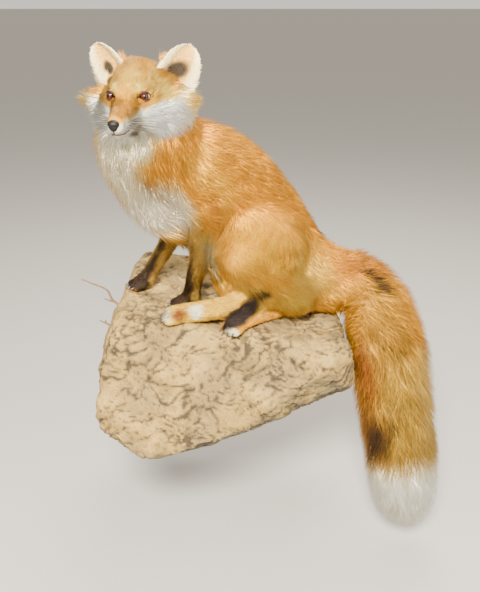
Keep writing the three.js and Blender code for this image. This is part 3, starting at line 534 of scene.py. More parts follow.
def streak(a, b, ra, rb=None):
    """A marking along a line in space."""
    return lambda p: taper(p, a, b, ra, ra if rb is None else rb)


def head_places(p):
    """Left, forward and up on the head."""
    return ((p - EYES) @ HEAD_AXES.T).T


def off_head(p):
    """Positive away from the head, by the cut at the nape."""
    left, forward, up = head_places(p)
    return np.maximum(-(up + 62) - 0.25 * (forward + 20), -(forward + 92))


def white_face(p):
    """The white of cheeks, muzzle sides and chin: below a line that falls from ruff to nose."""
    left, forward, up = head_places(p)
    line = np.interp(forward, [-70, -34, 5, 21, 48, 75], [0, -6, -11, -17, -22, -25])
    return np.maximum(np.maximum(up - line, np.abs(left - 2) - 82), off_head(p))


def on_both(mark, place, radii):
    """The same egg-shaped marking on both sides of the head, named by its place on the left."""
    left, forward, up = place
    return [(*mark, spot(on_head(side * left, forward, up), radii, HEAD_AXES)) for side in (-1, 1)]


# Each marking: its colour, the width of its soft edge, and the distance to it. Later ones lie over.
GROUND = linear("#dd9f36")
MARKINGS = [
    ("#b9792c", 40, streak([-40, -120, 480], [40, -95, 390], 44, 44)),             # rust of the back
    ("#a5672a", 34, streak([10, -90, 400], [120, -120, 265], 40, 36)),
    ("#eab040", 34, spot([24, -268, 262], [50, 40, 58])),                          # golden thigh
    ("#eec27c", 34, spot([118, -232, 205], [54, 46, 56])),                         # pale rump
    ("#f2c878", 26, spot([88, -266, 166], [40, 30, 22])),
    ("#efb856", 24, streak([-20, -262, 355], [-50, -262, 395], 20)),
    ("#9c5e22", 13, streak([-36, -262, 345], [-26, -268, 262], 7, 5)),             # painted shade in the crease by the elbow
    ("#e4a440", 24, off_head),                                                     # crown
    ("#f6c274", 22, spot(on_head(10, -14, 20), [34, 30, 20], HEAD_AXES)),
    ("#f9cf92", 14, spot(on_head(52, -28, 8), [20, 22, 14], HEAD_AXES)),           # temples
    ("#f9cf92", 14, spot(on_head(-46, -28, 8), [14, 22, 14], HEAD_AXES)),
    *on_both(("#f8d798", 6), (16, 4, 11), [7, 7, 5]),                              # pale brows
    ("#f6ecda", 12, spot([-168, -300, 440], [48, 60, 52])),                        # throat
    ("#efe3d3", 12, streak([-192, -285, 425], [-166, -262, 340], 33, 34)),         # chest
    ("#eee2d6", 12, spot([-126, -255, 318], [59, 64, 50])),
    ("#a79384", 11, streak([-138, -286, 366], [-110, -272, 348], 8, 7)),
    ("#e3b05c", 10, streak([-216, -262, 456], [-212, -250, 424], 10, 6)),          # gold by the far cheek
    ("#fffaf0", 5, white_face),
    ("#8a8178", 9, streak([-138, -321, 462], [-138, -316, 436], 9, 9)),            # grey of the throat
    ("#8a8178", 9, streak([-136, -320, 452], [-118, -310, 444], 9, 7)),
    ("#4d4640", 4, streak([-136, -320, 466], [-126, -314, 456], 2, 1.5)),
    ("#4d4640", 4, streak([-144, -319, 458], [-136, -315, 440], 2.5, 1.5)),
    ("#ecc482", 14, spot(on_head(94, -58, -10), [13, 34, 44], HEAD_AXES)),
    ("#f3cb86", 9, spot(on_head(-97, -58, -12), [10, 30, 34], HEAD_AXES)),
    *on_both(("#a6793d", 7), (14, 33, -16), [5, 15, 6]),                           # muzzle sides
    *on_both(("#d8913c", 5), (29, 8, -10), [6, 6, 4]),                             # below the eyes
    *on_both(("#6e4826", 2.5), (40, -9, 0), [8, 10, 1.3]),                         # painted shade in the crease behind the eye
    ("#cfa874", 9, streak([-58, -228, 268], [-80, -212, 172], 32, 24)),            # forelegs
    ("#bb9463", 9, streak([-110, -152, 266], [-158, -168, 186], 32, 24)),
    ("#866a50", 7, streak([-84, -236, 262], [-90, -226, 205], 9, 13)),             # their stockings
    ("#4d382b", 8, streak([-88, -226, 220], [-96, -222, 176], 9, 18)),
    ("#a3917a", 8, streak([-50, -241, 264], [-38, -233, 205], 10, 15)),            # grey belly
    ("#36261d", 7, streak([-134, -170, 250], [-170, -182, 188], 8, 18)),
    ("#33241d", 5, spot([-98, -222, 164], [26, 22, 13])),
    ("#33241d", 5, spot([-176, -176, 181], [24, 22, 13])),
    ("#ecbc6a", 9, streak([30, -250, 190], [-110, -272, 164], 34, 24)),            # hind feet
    ("#fbf1df", 7, spot([-71, -284, 174], [12, 13, 14])),
    ("#f5e6d0", 8, spot([-122, -280, 166], [16, 26, 14])),
    ("#8f5538", 6, spot([-98, -287, 170], [13, 9, 9])),                            # pads
    ("#241711", 6, streak([44, -279, 196], [14, -271, 176], 8, 13)),               # hind stocking
    ("#241711", 6, streak([14, -271, 173], [-20, -290, 154], 15, 17)),
    ("#f1e4cf", 4, spot([-16, -301, 144], [15, 9, 8])),                            # white toes
    ("#b67a2c", 22, spot([208, -196, 222], [48, 44, 32])),                         # tail's root
    ("#bb8c42", 30, streak([230, -240, 170], [250, -270, 60], 40, 44)),
    ("#24150e", 9, streak([218, -216, 214], [248, -231, 184], 9, 11)),             # gland spot
    ("#bf9852", 24, streak([262, -280, 40], [270, -300, -70], 40, 40)),
    ("#c8a878", 24, streak([316, -262, 60], [318, -290, -92], 30, 30)),
    ("#a8672a", 15, streak([196, -256, 80], [212, -276, 22], 20, 18)),
    ("#80532e", 14, streak([204, -262, -10], [220, -290, -60], 14, 18)),
    ("#50361f", 16, streak([230, -304, -40], [222, -286, -92], 16, 20)),
    ("#5f4229", 8, streak([262, -308, 6], [236, -310, -78], 5, 9)),
    ("#fdf6ea", 18, lambda p: (p - [262, -300, -116]) @ unit(np.array([-0.12, 0.2, 1.0]))),
]


def markings(p):
    """The coat's colour at points on the outline: each marking laid over those before it, with a
    wavering edge, and the whole a little lighter and darker in patches. Light that has passed
    through many golden hairs has lost much of its blue, and leaves white hair as it was."""
    colour = np.tile(GROUND, (len(p), 1))
    waver = ripple(p, 26, 30) + 0.7 * ripple(p, 9, 31)
    for hexed, soft, distance in MARKINGS:
        amount = fade(distance(p) + 0.35 * soft * waver, soft)[:, None]
        colour = laid_over(colour, linear(hexed), amount)
    colour = colour * (1 + 0.07 * ripple(p, 34, 32) + 0.05 * ripple(p, 12, 33))[:, None]
    peak = colour.max(axis=1, keepdims=True)
    return colour * (colour / peak) ** [0, 0.15, 0.85]


def coat_at(p):
    """Coat depth, hair direction and nearest group at points on the hide: each shape of the form
    counts more the nearer it is."""
    total = np.zeros(len(p))
    depth = np.zeros(len(p))
    flow = np.zeros(p.shape)
    nearest = np.full(len(p), 1e9)
    group = np.zeros(len(p), int)
    for number, (_, _, shapes) in enumerate(GROUPS):
        for shape in shapes:
            d, coat, way = shape_at(shape, p, 1)
            weight = np.exp(-np.clip(d, 0, 60) / 5)
            total += weight
            depth += weight * coat
            flow += weight[:, None] * way
            group = np.where(d < nearest, number, group)
            nearest = np.minimum(nearest, d)
    return depth / total, unit(flow), group


skin_out = unit(slope(bare_form, skin_points, bare_form(skin_points)))
skin_depth, _, skin_group = coat_at(skin_points)
skin_colours = markings(skin_points + skin_out * skin_depth[:, None]) * UNDERFUR_TONE

# Tanned hide with woolly underfur: matt, and finely uneven where the hairs part
hide, tree, shader, place = finish_of("fox_hide", Roughness=0.85, Specular_IOR_Level=0.3)
tones = add(tree, "ShaderNodeAttribute", attribute_name="Markings").outputs["Color"]
tree.links.new(varied(tree, tones, place, PER_MM / 2, 0.75, 1.2), shader.inputs["Base Color"])
nap = add(tree, "ShaderNodeTexNoise", {"Vector": place, "Scale": PER_MM / 1.2, "Detail": 3.0})
nap_bump = add(tree, "ShaderNodeBump", {
    "Height": nap.outputs["Fac"], "Distance": 0.001, "Strength": 0.7})
tree.links.new(nap_bump.outputs["Normal"], shader.inputs["Normal"])
fox_skin = piece("fox_skin", skin_points, skin_quads, hide, skin_colours)
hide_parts("head", "neck", "trunk", "thigh_left", "thigh_right", "foreleg_left",
            "foreleg_right", "forepaw_left", "forepaw_right", "hindfoot_left", "hindfoot_right",
            "tail_root", "tail_brush", "tail_tip")

# ---- The coat ------------------------------------------------------------------------------------
# Guard hair in tapering three-sided tufts, each bent once: it leaves the hide steeply and then lies
# along the body. Long on ruff, flanks and brush, and down to a few millimetres on face and feet.

UNWRAP_AXES = [                           # the line that each part of the hide is unrolled round
    [on_head(0, -96, 0), on_head(0, 72, -24)],
    [[-132, -236, 520], [-96, -192, 360]],
    [[-140, -192, 380], [14, -166, 306], [150, -165, 180]],
    [[-44, -225, 340], [-82, -214, 160]],
    [[-97, -150, 320], [-166, -168, 176]],
    [[35, -226, 330], [30, -230, 150]],
    [[32, -112, 300], [20, -240, 160]],
    [[-110, -240, 170], [40, -260, 150]],
    [[150, -168, 200], [250, -214, 83], [273, -260, -77], [296, -288, -230]],
]
UNWRAP_COLUMNS = 3
HEAD, NECK, TRUNK, FORELEG_LEFT, FORELEG_RIGHT, HINDLEG_LEFT, HINDLEG_RIGHT, FIRST_TOE = range(8)
TAIL = len(GROUPS) - 1                    # the groups' numbers, with all the toes before the tail


def unwrapped(p, group):
    """Place on the unrolled hide: the turn round its part's line across, and the length along it
    up, each part in its own square of a three by three sheet."""
    part = np.where(group < FIRST_TOE, group, np.where(group == TAIL, FIRST_TOE + 1, FIRST_TOE))
    place = np.zeros((len(p), 2))
    for number, line in enumerate(UNWRAP_AXES):
        mine = part == number
        if not mine.any():
            continue
        q, line = p[mine], np.array(line, float)
        lengths = np.linalg.norm(np.diff(line, axis=0), axis=1)
        best = np.full(len(q), 1e9)
        along, turn = np.zeros(len(q)), np.zeros(len(q))
        for a, b, start, length in zip(line[:-1], line[1:], np.cumsum(lengths) - lengths, lengths):
            way = (b - a) / length
            side = unit(np.cross(way, [0.3, 0.9, 0.1]))
            t = np.clip((q - a) @ way, 0, length)
            off = q - a - t[:, None] * way
            near = np.linalg.norm(off, axis=1) < best
            best[near] = np.linalg.norm(off, axis=1)[near]
            along[near] = (start + t[near]) / lengths.sum()
            turn[near] = np.arctan2(off @ np.cross(way, side), off @ side)[near] / (2 * np.pi) + 0.5
        corner = np.array([number % UNWRAP_COLUMNS, number // UNWRAP_COLUMNS])
        place[mine] = (corner + 0.03 + 0.93 * np.stack([turn, along], axis=1)) / UNWRAP_COLUMNS
    return place


# Guard hair: smooth, and slightly glossy along its length
guard_hair, tree, shader, place = finish_of("fox_guard_hair", Roughness=0.6, Specular_IOR_Level=0.35)
tones = add(tree, "ShaderNodeAttribute", attribute_name="Markings").outputs["Color"]
tree.links.new(varied(tree, tones, place, PER_MM / 3, 0.88, 1.12), shader.inputs["Base Color"])

PATCH = 0.003                             # size of a tuft's patch on the unrolled hide
RING = np.array([[1.0, -0.4], [-1.0, -0.4], [0.0, 0.8]])       # a flattened triangle across a tuft
HAIR_OFF_ROCK = 2.4
ROOT_SUNK = 0.6
TO_BEND, BEND_TO_TIP = 0.42, 0.62         # shares of a tuft's length
FURTHEST_OUT = 9                          # of a tip past the outline
DARKEST, LIGHTEST = 0.003, 0.95


def clear_of_rock(points):
    """Moves those of the points that are in the rock, or less than a tuft's width over it, out."""
    beside = np.flatnonzero(rock_form(points) < 3 * HAIR_OFF_ROCK)
    height = rock_form(points[beside])
    out = unit(slope(rock_form, points[beside], height))
    points[beside] -= out * np.minimum(height - HAIR_OFF_ROCK, 0)[:, None]


def tuft_piece(name, points, faces, lights, tone, place, sideways, heights):
    """A piece of tufts, each with the same faces. Each row of points is lit by its own share of
    the tuft's tone. The OFBake map gives each tuft a small patch at its root's place on the
    unrolled hide, where sideways and heights place its points."""
    count, corners = points.shape[:2]
    faces = (np.arange(count)[:, None, None] * corners + np.array(faces)).reshape(-1, 3)
    colours = np.clip(np.stack([tone * light for light in lights], axis=1), DARKEST, LIGHTEST)
    obj = piece(name, points.reshape(-1, 3), faces, guard_hair, colours.reshape(-1, 3))
    patch = (np.array([sideways, heights]).T - [0.5, 0]) * PATCH
    spread = (place[:, None, :] + patch).reshape(-1, 2)[faces.ravel()]
    layer = obj.data.uv_layers.new(name="OFBake")
    layer.data.foreach_set("uv", spread.astype(np.float32).ravel())
    return obj


def tufts(name, only, roots, out, flow, depth, length, width, place, bend, wild):
    """Tufts from roots to tips. The middle point is part way along the hair's direction, lifted to
    about half the coat's depth, and the tip is near the outline. Rings of three corners stand at
    the root and the middle, across the way that the tuft runs. Wilder hair swings and stands out
    more, in locks, and more of it is ticked with dark tips where it isn't white."""
    count = len(roots)

    def near_form(p):
        return fox_form(p, 0, only)

    along = unit(flow - (flow * out).sum(axis=1, keepdims=True) * out)
    swing = wild * (0.40 * ripple(roots, 24, 40) + 0.34 * ripple(roots, 8, 41)) + rng.normal(0, 0.14, count)
    along = unit(along + np.cross(out, along) * swing[:, None])
    lock = 0.15 * wild * ripple(roots, 7, 43)
    middle = roots + along * TO_BEND * length[:, None] + out * 0.5 * depth[:, None]
    middle = settle(near_form, middle, -depth * (rng.uniform(0.35, 0.6, count) + lock), 1, 12)
    tip_level = -depth * (rng.uniform(-0.12 * wild ** 2, 0.34, count) + lock)
    tip = settle(near_form, middle + along * BEND_TO_TIP * length[:, None],
                 np.minimum(tip_level, FURTHEST_OUT), 2, 14)
    clear_of_rock(middle)
    clear_of_rock(tip)
    wide = width * (0.6 + 0.4 * np.minimum(depth / 6, 1)) * rng.uniform(0.7, 1.25, count)
    spines = [(roots - out * ROOT_SUNK, wide)] + ([(middle, wide * 0.85)] if bend else [])
    rings = []
    for (centre, across), toward in zip(spines, [middle, tip] if bend else [tip]):
        run = unit(toward - centre)
        side = unit(np.cross(run, out))
        over = np.cross(side, run)
        rings += [centre + (side * x + over * y) * (across / 2)[:, None] for x, y in RING]
    last = 3 * len(spines)
    faces = [[last - 3 + k, last - 3 + (k + 1) % 3, last] for k in range(3)]
    if bend:
        faces += [[k, (k + 1) % 3, 3 + (k + 1) % 3] for k in range(3)]
        faces += [[k, 3 + (k + 1) % 3, 3 + k] for k in range(3)]
    tone = markings(tip - (tip - middle) * 0.25)
    mottle = 1 + wild * (0.12 * ripple(roots, 6, 42) + 0.08 * ripple(roots, 15, 44))
    tone *= (rng.normal(1, 0.07 + 0.05 * wild, count) * mottle)[:, None]
    dyed = 1 - tone.min(axis=1) / tone.max(axis=1)
    often = 0.12 * wild ** 2 * (1 + ripple(roots, 9, 45))
    ticked = (rng.random(count) < often) * np.minimum(0.46 * wild, 0.85) * dyed
    # Painted shade: each tuft's root is darkened, partly as grey underfur and partly as the shade of the
    # coat over it, and its tip is made lighter
    root_light = 0.40 + 0.40 * tone.min(axis=1, keepdims=True)
    lights = [root_light] * 3 + ([1 - 0.5 * ticked[:, None]] * 3 if bend else []) + [1.15 - ticked[:, None]]
    heights = [0.0] * 3 + ([0.5] * 3 if bend else []) + [1.0]
    sideways = [0.0, 1.0, 0.5] * len(spines) + [0.5]
    coat = tuft_piece(name, np.stack([*rings, tip], axis=1), faces, lights, tone, place, sideways, heights)


triangles = np.concatenate([skin_quads[:, [0, 1, 2]], skin_quads[:, [0, 2, 3]]])
corners = skin_points[triangles]
areas = np.linalg.norm(np.cross(corners[:, 1] - corners[:, 0], corners[:, 2] - corners[:, 0]), axis=1) / 2
middles = corners.mean(axis=1)
middle_depth = skin_depth[triangles].mean(axis=1)
middle_group = skin_group[triangles[:, 0]]
head_left, head_forward, _ = head_places(middles)

# No tufts grow round the eyes, round the nose, along the lips or on the rock
EYE_CLEARINGS = [(24, 9, 0, [11, 11, 9]), (15, 12, -2, [6, 10, 4])]
NOSE_CLEARING, LIP_CLEARING, ROCK_CLEARING = 12.5, 3.4, 1.5
LIP_HEIGHT = 1.6                          # of the painted seam over the hide
LIP = [[0, 66, -36.5], [4, 63, -38.5], [8.2, 54, -40], [10.8, 42, -40.5], [13, 31, -39.5],
       [14.5, 22, -37]]
near_eye = np.min([egg(middles, on_head(side * left, forward, up), radii, HEAD_AXES)
                   for side in (-1, 1) for left, forward, up, radii in EYE_CLEARINGS], axis=0) < 0
near_nose = np.linalg.norm(middles - on_head(0, 70, -26), axis=1) < NOSE_CLEARING
on_muzzle = np.flatnonzero(np.linalg.norm(middles - on_head(0, 45, -36), axis=1) < 45)
lip_lines = []
by_lip = np.zeros(len(middles), bool)
for side in (-1, 1):
    line = smooth_line([on_head(side * left, forward, up) for left, forward, up in LIP], 8)
    line = settle(bare_form, line, LIP_HEIGHT, 3, 3)
    away = np.linalg.norm(middles[on_muzzle][:, None] - line[None], axis=2).min(axis=1)
    by_lip[on_muzzle] |= away < LIP_CLEARING
    lip_lines.append(line)
hidden = (rock_form(middles) < ROCK_CLEARING) | near_eye | near_nose | by_lip


def on(*groups):
    """Which triangles of the hide belong to those groups."""
    return np.isin(middle_group, groups)


ruff = on(HEAD) & ((np.abs(head_left) > 33) | (head_forward < -55)) & (middle_depth > 6)
near_side = middles[:, 1] < -175
above_brush = middles[:, 2] > 20
LEGS = ["foreleg_left", "foreleg_right", "hindleg_left", "hindleg_right", "toes"]

# Name, groups near it, which part of the hide, how many tufts, length over coat depth, extra
# length, width, bent, wildness
COATS = [
    ("coat_face", ["head", "neck"], on(HEAD) & ~ruff, 50000, 1.7, 3.5, 1.35, False, 1.3),
    ("coat_ruff", ["head", "neck"], ruff, 14000, 1.5, 6.0, 1.4, True, 1.1),
    ("coat_neck", ["head", "neck", "trunk"], on(NECK), 20000, 1.75, 6.0, 1.5, True, 1.1),
    ("coat_flank", ["neck", "trunk", *LEGS, "tail"], on(TRUNK) & near_side,
     20000, 1.9, 5.0, 1.4, True, 0.9),
    ("coat_back", ["neck", "trunk", *LEGS, "tail"], on(TRUNK) & ~near_side,
     15000, 1.9, 5.0, 1.8, True, 1.0),
    ("coat_haunches", ["trunk", *LEGS, "tail"], on(HINDLEG_LEFT, HINDLEG_RIGHT),
     54000, 1.8, 4.0, 1.1, False, 1.0),
    ("coat_legs", ["trunk", *LEGS], on(FORELEG_LEFT, FORELEG_RIGHT, *range(FIRST_TOE, TAIL)),
     40000, 1.6, 2.6, 0.9, False, 0.8),
    ("coat_tail", ["trunk", "hindleg_left", "tail"], on(TAIL) & above_brush,
     20000, 1.5, 8.0, 1.6, True, 1.7),
    ("coat_brush", ["tail"], on(TAIL) & ~above_brush, 20000, 1.6, 9.0, 1.6, True, 1.8),
]
BY_LEDGE, LEDGE_REACH, LEDGE_WILDNESS = [210, -210, 130], 24, 1.4     # hair pushed up by the ledge
for name, only, chosen, count, per_depth, extra, width, bend, wild in COATS:
    pool = np.flatnonzero(chosen & ~hidden)
    picked = rng.choice(pool, count, p=areas[pool] / areas[pool].sum())
    u, v = rng.random((2, count, 1))
    over = (u + v) > 1
    u, v = np.where(over, 1 - u, u), np.where(over, 1 - v, v)
    a, b, c = corners[picked].transpose(1, 0, 2)
    roots = a + u * (b - a) + v * (c - a)
    out = unit(slope(bare_form, roots, bare_form(roots)))
    depth, flow, group = coat_at(roots)
    depth = np.maximum(-fox_form(roots, 0, only), 0.6)
    length = (depth * per_depth + extra) * rng.uniform(0.75, 1.2, count)
    by_ledge = np.exp(-(np.linalg.norm(roots - BY_LEDGE, axis=1) / LEDGE_REACH) ** 2)
    tufts(name, only, roots, out, flow, depth, length, width, unwrapped(roots, group), bend,
          wild + LEDGE_WILDNESS * by_ledge)

# ---- The eyes ------------------------------------------------------------------------------------
# Blown glass eyes with a clear bulging front, an amber-brown iris with fine rays and a dark rim, and
# an upright oval pupil. Black modelled lids hold them, drawn to a point towards the nose.

EYE_RADIUS = 7.4
EYE_FORWARD = 1.0
CORNEA = 0.7                              # height of the bulge over the iris
EYE_ROWS, EYE_COLUMNS, LID_COLUMNS = 48, 64, 72
IRIS_EDGE, WHITE_EDGE = 0.80, 0.90        # angles from the middle of the pupil
PUPIL_WIDTH, PUPIL_HEIGHT = 0.26, 0.38    # as shares of the eye's radius
PUPIL, AMBER, RIM, EYE_WHITE = linear("#080504"), linear("#431d12"), linear("#0d0806"), linear("#cbbfb2")

# Rows of a lid from its edge outwards: size over the opening, height over the glass, and how far
# the inner corner is drawn towards the nose
LID_ROWS = [(0.98, -0.9, 0), (1.0, 0.4, 0), (1.1, 1.0, 1.5), (1.24, 1.4, 3.4), (1.38, 1.6, 4.6)]


def grid_faces(rows, columns):
    """Four-sided faces of a grid of points, closed round its columns."""
    r, c = np.meshgrid(np.arange(rows - 1), np.arange(columns), indexing="ij")
    d = (c + 1) % columns
    return np.stack([r * columns + c, r * columns + d, (r + 1) * columns + d, (r + 1) * columns + c],
                    axis=-1).reshape(-1, 4)


# Blown glass over a painted iris: a hard clear gloss with a sharp glint
glass, tree, shader, _ = finish_of("blown_glass_eye", Roughness=0.04, Specular_IOR_Level=0.3)
tones = add(tree, "ShaderNodeAttribute", attribute_name="Markings").outputs["Color"]
tree.links.new(tones, shader.inputs["Base Color"])

# Waxed and painted lid: near black and slightly moist at its edge
lid_paint, tree, shader, place = finish_of("painted_lid", Roughness=0.6, Specular_IOR_Level=0.25)
tones = add(tree, "ShaderNodeAttribute", attribute_name="Markings").outputs["Color"]
tree.links.new(varied(tree, tones, place, PER_MM / 1.5, 0.8, 1.15), shader.inputs["Base Color"])

for side, name in ((-1, "right"), (1, "left")):
    centre = on_head(side * EYE_SPACING / 2, EYE_FORWARD, 0)
    gaze = unit(FORWARD + 0.42 * side * LEFT + 0.03 * UP)
    outward = unit(side * LEFT - gaze * (side * LEFT @ gaze))
    above = unit(UP - gaze * (UP @ gaze))
    off, turn = np.meshgrid(np.linspace(0.001, np.pi - 0.001, EYE_ROWS),
                            np.arange(EYE_COLUMNS) * 2 * np.pi / EYE_COLUMNS, indexing="ij")
    across, upright = np.sin(off) * np.cos(turn), np.sin(off) * np.sin(turn)
    ways = np.cos(off)[..., None] * gaze + across[..., None] * outward + upright[..., None] * above
    radius = EYE_RADIUS + CORNEA * np.exp(-(off / 0.55) ** 2)
    ball = centre + radius[..., None] * ways
    pupil = fade(np.hypot(across / PUPIL_WIDTH, upright / PUPIL_HEIGHT) - 1, 0.12)[..., None]
    iris = fade(off - IRIS_EDGE, 0.05)[..., None]
    rays = 0.85 + 0.15 * np.sin(turn * 23 + 2 * np.sin(turn * 5))
    amber = AMBER * (rays * (1.2 - 0.8 * (off / IRIS_EDGE) ** 3))[..., None]
    white = (fade(WHITE_EDGE - off, 0.04) * fade(0.55 - np.cos(turn), 0.2))[..., None]
    shown = laid_over(RIM, EYE_WHITE, white)
    shown = laid_over(shown, np.clip(amber, DARKEST, 1), iris)
    shown = laid_over(shown, PUPIL, pupil)
    eye = piece(f"glass_eye_{name}", ball.reshape(-1, 3), grid_faces(EYE_ROWS, EYE_COLUMNS)[:, ::-1],
                glass, shown.reshape(-1, 3))
    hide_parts(f"eye_{name}")

    turn = np.arange(LID_COLUMNS) * 2 * np.pi / LID_COLUMNS
    inner_corner = np.exp(-((np.abs(turn - np.pi)) / 0.42) ** 2)
    outer_corner = np.exp(-((np.pi - np.abs(turn - np.pi)) / 0.36) ** 2)
    wide = 1.02 + 0.34 * inner_corner + 0.30 * outer_corner
    high = np.where(np.sin(turn) > 0, 0.76, 0.70)
    opening = wide * high / np.hypot(high * np.cos(turn), wide * np.sin(turn))
    rows = []
    for grow, lift, drawn in LID_ROWS:
        spread = np.clip(opening * grow, 0, 1.6)
        way = (np.cos(spread)[:, None] * gaze + (np.sin(spread) * np.cos(turn))[:, None] * outward
               + (np.sin(spread) * np.sin(turn) - 0.10 * inner_corner)[:, None] * above)
        row = centre + (EYE_RADIUS + lift) * unit(way)
        row -= (drawn * inner_corner ** 2)[:, None] * (outward + 0.3 * above)
        sunk = bare_form(row) < 0.5 if grow > 1 else np.zeros(LID_COLUMNS, bool)
        row[sunk] = settle(bare_form, row[sunk], 0.5, 2, 3)
        rows.append(row)
    last = settle(bare_form, centre + 1.3 * (rows[-1] - centre), 0.25, 3, 3)
    rows.append(last)
    blend_in = np.array([0, 0, 0, 0, 0.08, 1])[:, None, None]
    lid_colours = laid_over(linear("#120b08"), 0.9 * markings(last), blend_in)
    lid = piece(f"eyelid_{name}", np.array(rows).reshape(-1, 3), grid_faces(len(rows), LID_COLUMNS),
                lid_paint, lid_colours.reshape(-1, 3))

# ---- The nose ------------------------------------------------------------------------------------
# A modelled and painted nose pad: black, pebbled like fine leather, with two comma-shaped nostrils
# and a groove down its middle.

NOSE_WIDTH = 16.0


def nose_form(p):
    """Distance to the pad: two eggs melted together, less the nostrils and the groove."""
    d = melt(egg(p, on_head(0, 68, -24), [NOSE_WIDTH / 2, 7, 6], HEAD_AXES),
             egg(p, on_head(0, 68, -29), [NOSE_WIDTH / 3.4, 5.5, 4.5], HEAD_AXES), 4)
    for side in (-1, 1):
        hole = taper(p, on_head(side * 3.4, 75, -26), on_head(side * 7.4, 70.5, -26.5), 1.5, 0.7)
        d = -melt(-d, hole, 1.2)
    groove = taper(p, on_head(0, 75.6, -23), on_head(0, 73.5, -36), 0.5, 0.6)
    return -melt(-d, groove, 1.0)


nose_centre = on_head(0, 68, -27)
nose_points, nose_quads = surface_nets(nose_form, [graded(c - 13, c + 13, 0.62) for c in nose_centre])

# Painted and waxed epoxy: black with a soft sheen, in pebbles about 1 mm wide
nose_skin, tree, shader, place = finish_of("nose_leather", "#100d0c", Roughness=0.45,
                                           Specular_IOR_Level=0.25)
pebbles = add(tree, "ShaderNodeTexVoronoi", {"Vector": place, "Scale": PER_MM / 0.9})
pebble_bump = add(tree, "ShaderNodeBump", {
    "Height": pebbles.outputs["Distance"], "Distance": 0.0004, "Strength": 0.6}, invert=True)
tree.links.new(pebble_bump.outputs["Normal"], shader.inputs["Normal"])
nose = piece("nose_pad", nose_points, nose_quads, nose_skin)
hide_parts("nose")

# ---- The lips and whiskers -----------------------------------------------------------------------
# A closed mouth drawn as a dark painted seam from under the nose back along both sides, and stiff
# dark whiskers set in rows on the muzzle.


def tube(line, radii, sides=8):
    """A round tube along a line of points: a ring of the given radius across its run at each."""
    run = unit(np.gradient(line, axis=0))
    side = unit(np.cross(run, [0.21, 0.34, 0.92]))
    over = np.cross(run, side)
    angle = np.arange(sides) * 2 * np.pi / sides
    spokes = np.cos(angle)[:, None] * side[:, None] + np.sin(angle)[:, None] * over[:, None]
    rings = line[:, None] + radii[:, None, None] * spokes
    return rings.reshape(-1, 3), grid_faces(len(line), sides)


def joined(parts):
    """Several point and face arrays as one pair."""
    starts = np.cumsum([0] + [len(points) for points, _ in parts[:-1]])
    faces = np.vstack([faces + start for (_, faces), start in zip(parts, starts)])
    return np.vstack([points for points, _ in parts]), faces


# Painted lip: a soft dark line, half matt
lip_skin = finish_of("painted_lip", "#2a1d18", Roughness=0.5, IOR=1.5)[0]
seams = [tube(line, np.interp(np.linspace(0, 1, len(line)), [0, 0.1, 0.7, 1], [0.5, 0.8, 0.6, 0.05]))
         for line in lip_lines]
parting = smooth_line([on_head(0, 74, -32), on_head(0, 72, -35), on_head(0, 67, -38)], 6)
parting = settle(bare_form, parting, 0.6, 3, 3)
seams.append(tube(parting, np.linspace(0.6, 0.9, len(parting))))
lips = piece("lip_seam", *joined(seams), lip_skin)

# Whisker: dark stiff hair with a slight shine
whisker_horn = finish_of("whisker_horn", "#2b201a", Roughness=0.4, IOR=1.54)[0]
WHISKER_ROWS, WHISKERS_IN_ROW = 3, 3
WHISKER_THICKEST, WHISKER_THINNEST = 0.54, 0.12       # radii, coarser than real ones so that they show
whiskers = []
for side in (-1, 1):
    for row in range(WHISKER_ROWS):
        for k in range(WHISKERS_IN_ROW):
            root = on_head(side * (10 + 1.6 * k), 50 - 8 * k, -25 - 3.6 * row)
            root = settle(bare_form, root[None], -0.4, 2, 4)[0]
            length = 34 + 7 * k + rng.uniform(-4, 4)
            way = unit(1.3 * side * LEFT - (0.55 + 0.1 * k) * FORWARD + 0.16 * (1 - row) * UP)
            t = np.linspace(0, 1, 9)[:, None]
            line = root + way * length * t - UP * (5 + 2 * row) * t ** 2 - FORWARD * 8 * t ** 2
            radii = WHISKER_THICKEST + (WHISKER_THINNEST - WHISKER_THICKEST) * t[:, 0]
            whiskers.append(tube(line, radii, 4))
whisker_set = piece("whiskers", *joined(whiskers), whisker_horn)

# ---- The ears ------------------------------------------------------------------------------------
# Skin over a thin ear liner: a cupped leaf, cream inside with painted shade deep in its hollow and a
# dark back, with long cream hairs along its front edges and a velvet of short hair all over.

EAR_LENGTH, EAR_HALF_WIDTH = 52.0, 28.0
EAR_CUP, EAR_THICKNESS = 14.0, 5.0
EAR_SUNK = 0.35                           # share of the length that is set into the head
EAR_ROWS, EAR_COLUMNS = 40, 34
EAR_HAIRS = 10000
EAR_GOLD, EAR_CREAM, EAR_HOLLOW_SHADE = linear("#dcae55"), linear("#f0dca8"), linear("#1c120d")
EAR_BACK, EAR_FOOT, EAR_RIM = linear("#2a1d17"), linear("#b8742a"), linear("#f2dfb8")


def ear_sheet(side, offset, t, u):
    """Points on an ear: t runs from root to tip and u from edge to edge. The half width falls as
    the root of 1 - 0.96 t^2.2, the hollow as 1 - u^2, and offset is 1 in front and -1 behind."""
    root, tip = on_head(6 + side * 45, -66, 14), on_head(8 + side * 68, -57, 58)
    rise = unit(tip - root)
    lean = 0.9 * FORWARD + 0.35 * side * LEFT
    front = unit(lean - rise * (lean @ rise))
    wide = np.cross(rise, front)
    up = np.clip(t, 0, 1)
    half = EAR_HALF_WIDTH * np.sqrt(1 - 0.96 * up ** 2.2)
    hollow = -EAR_CUP * (1 - u ** 2) * (1 - 0.8 * up)
    thick = offset * EAR_THICKNESS / 2 * np.sqrt(np.maximum(1 - u ** 2, 0)) * (1 - 0.5 * up)
    return (root + rise * (t * EAR_LENGTH)[..., None] + wide * (u * half)[..., None]
            + front * (hollow + thick)[..., None])


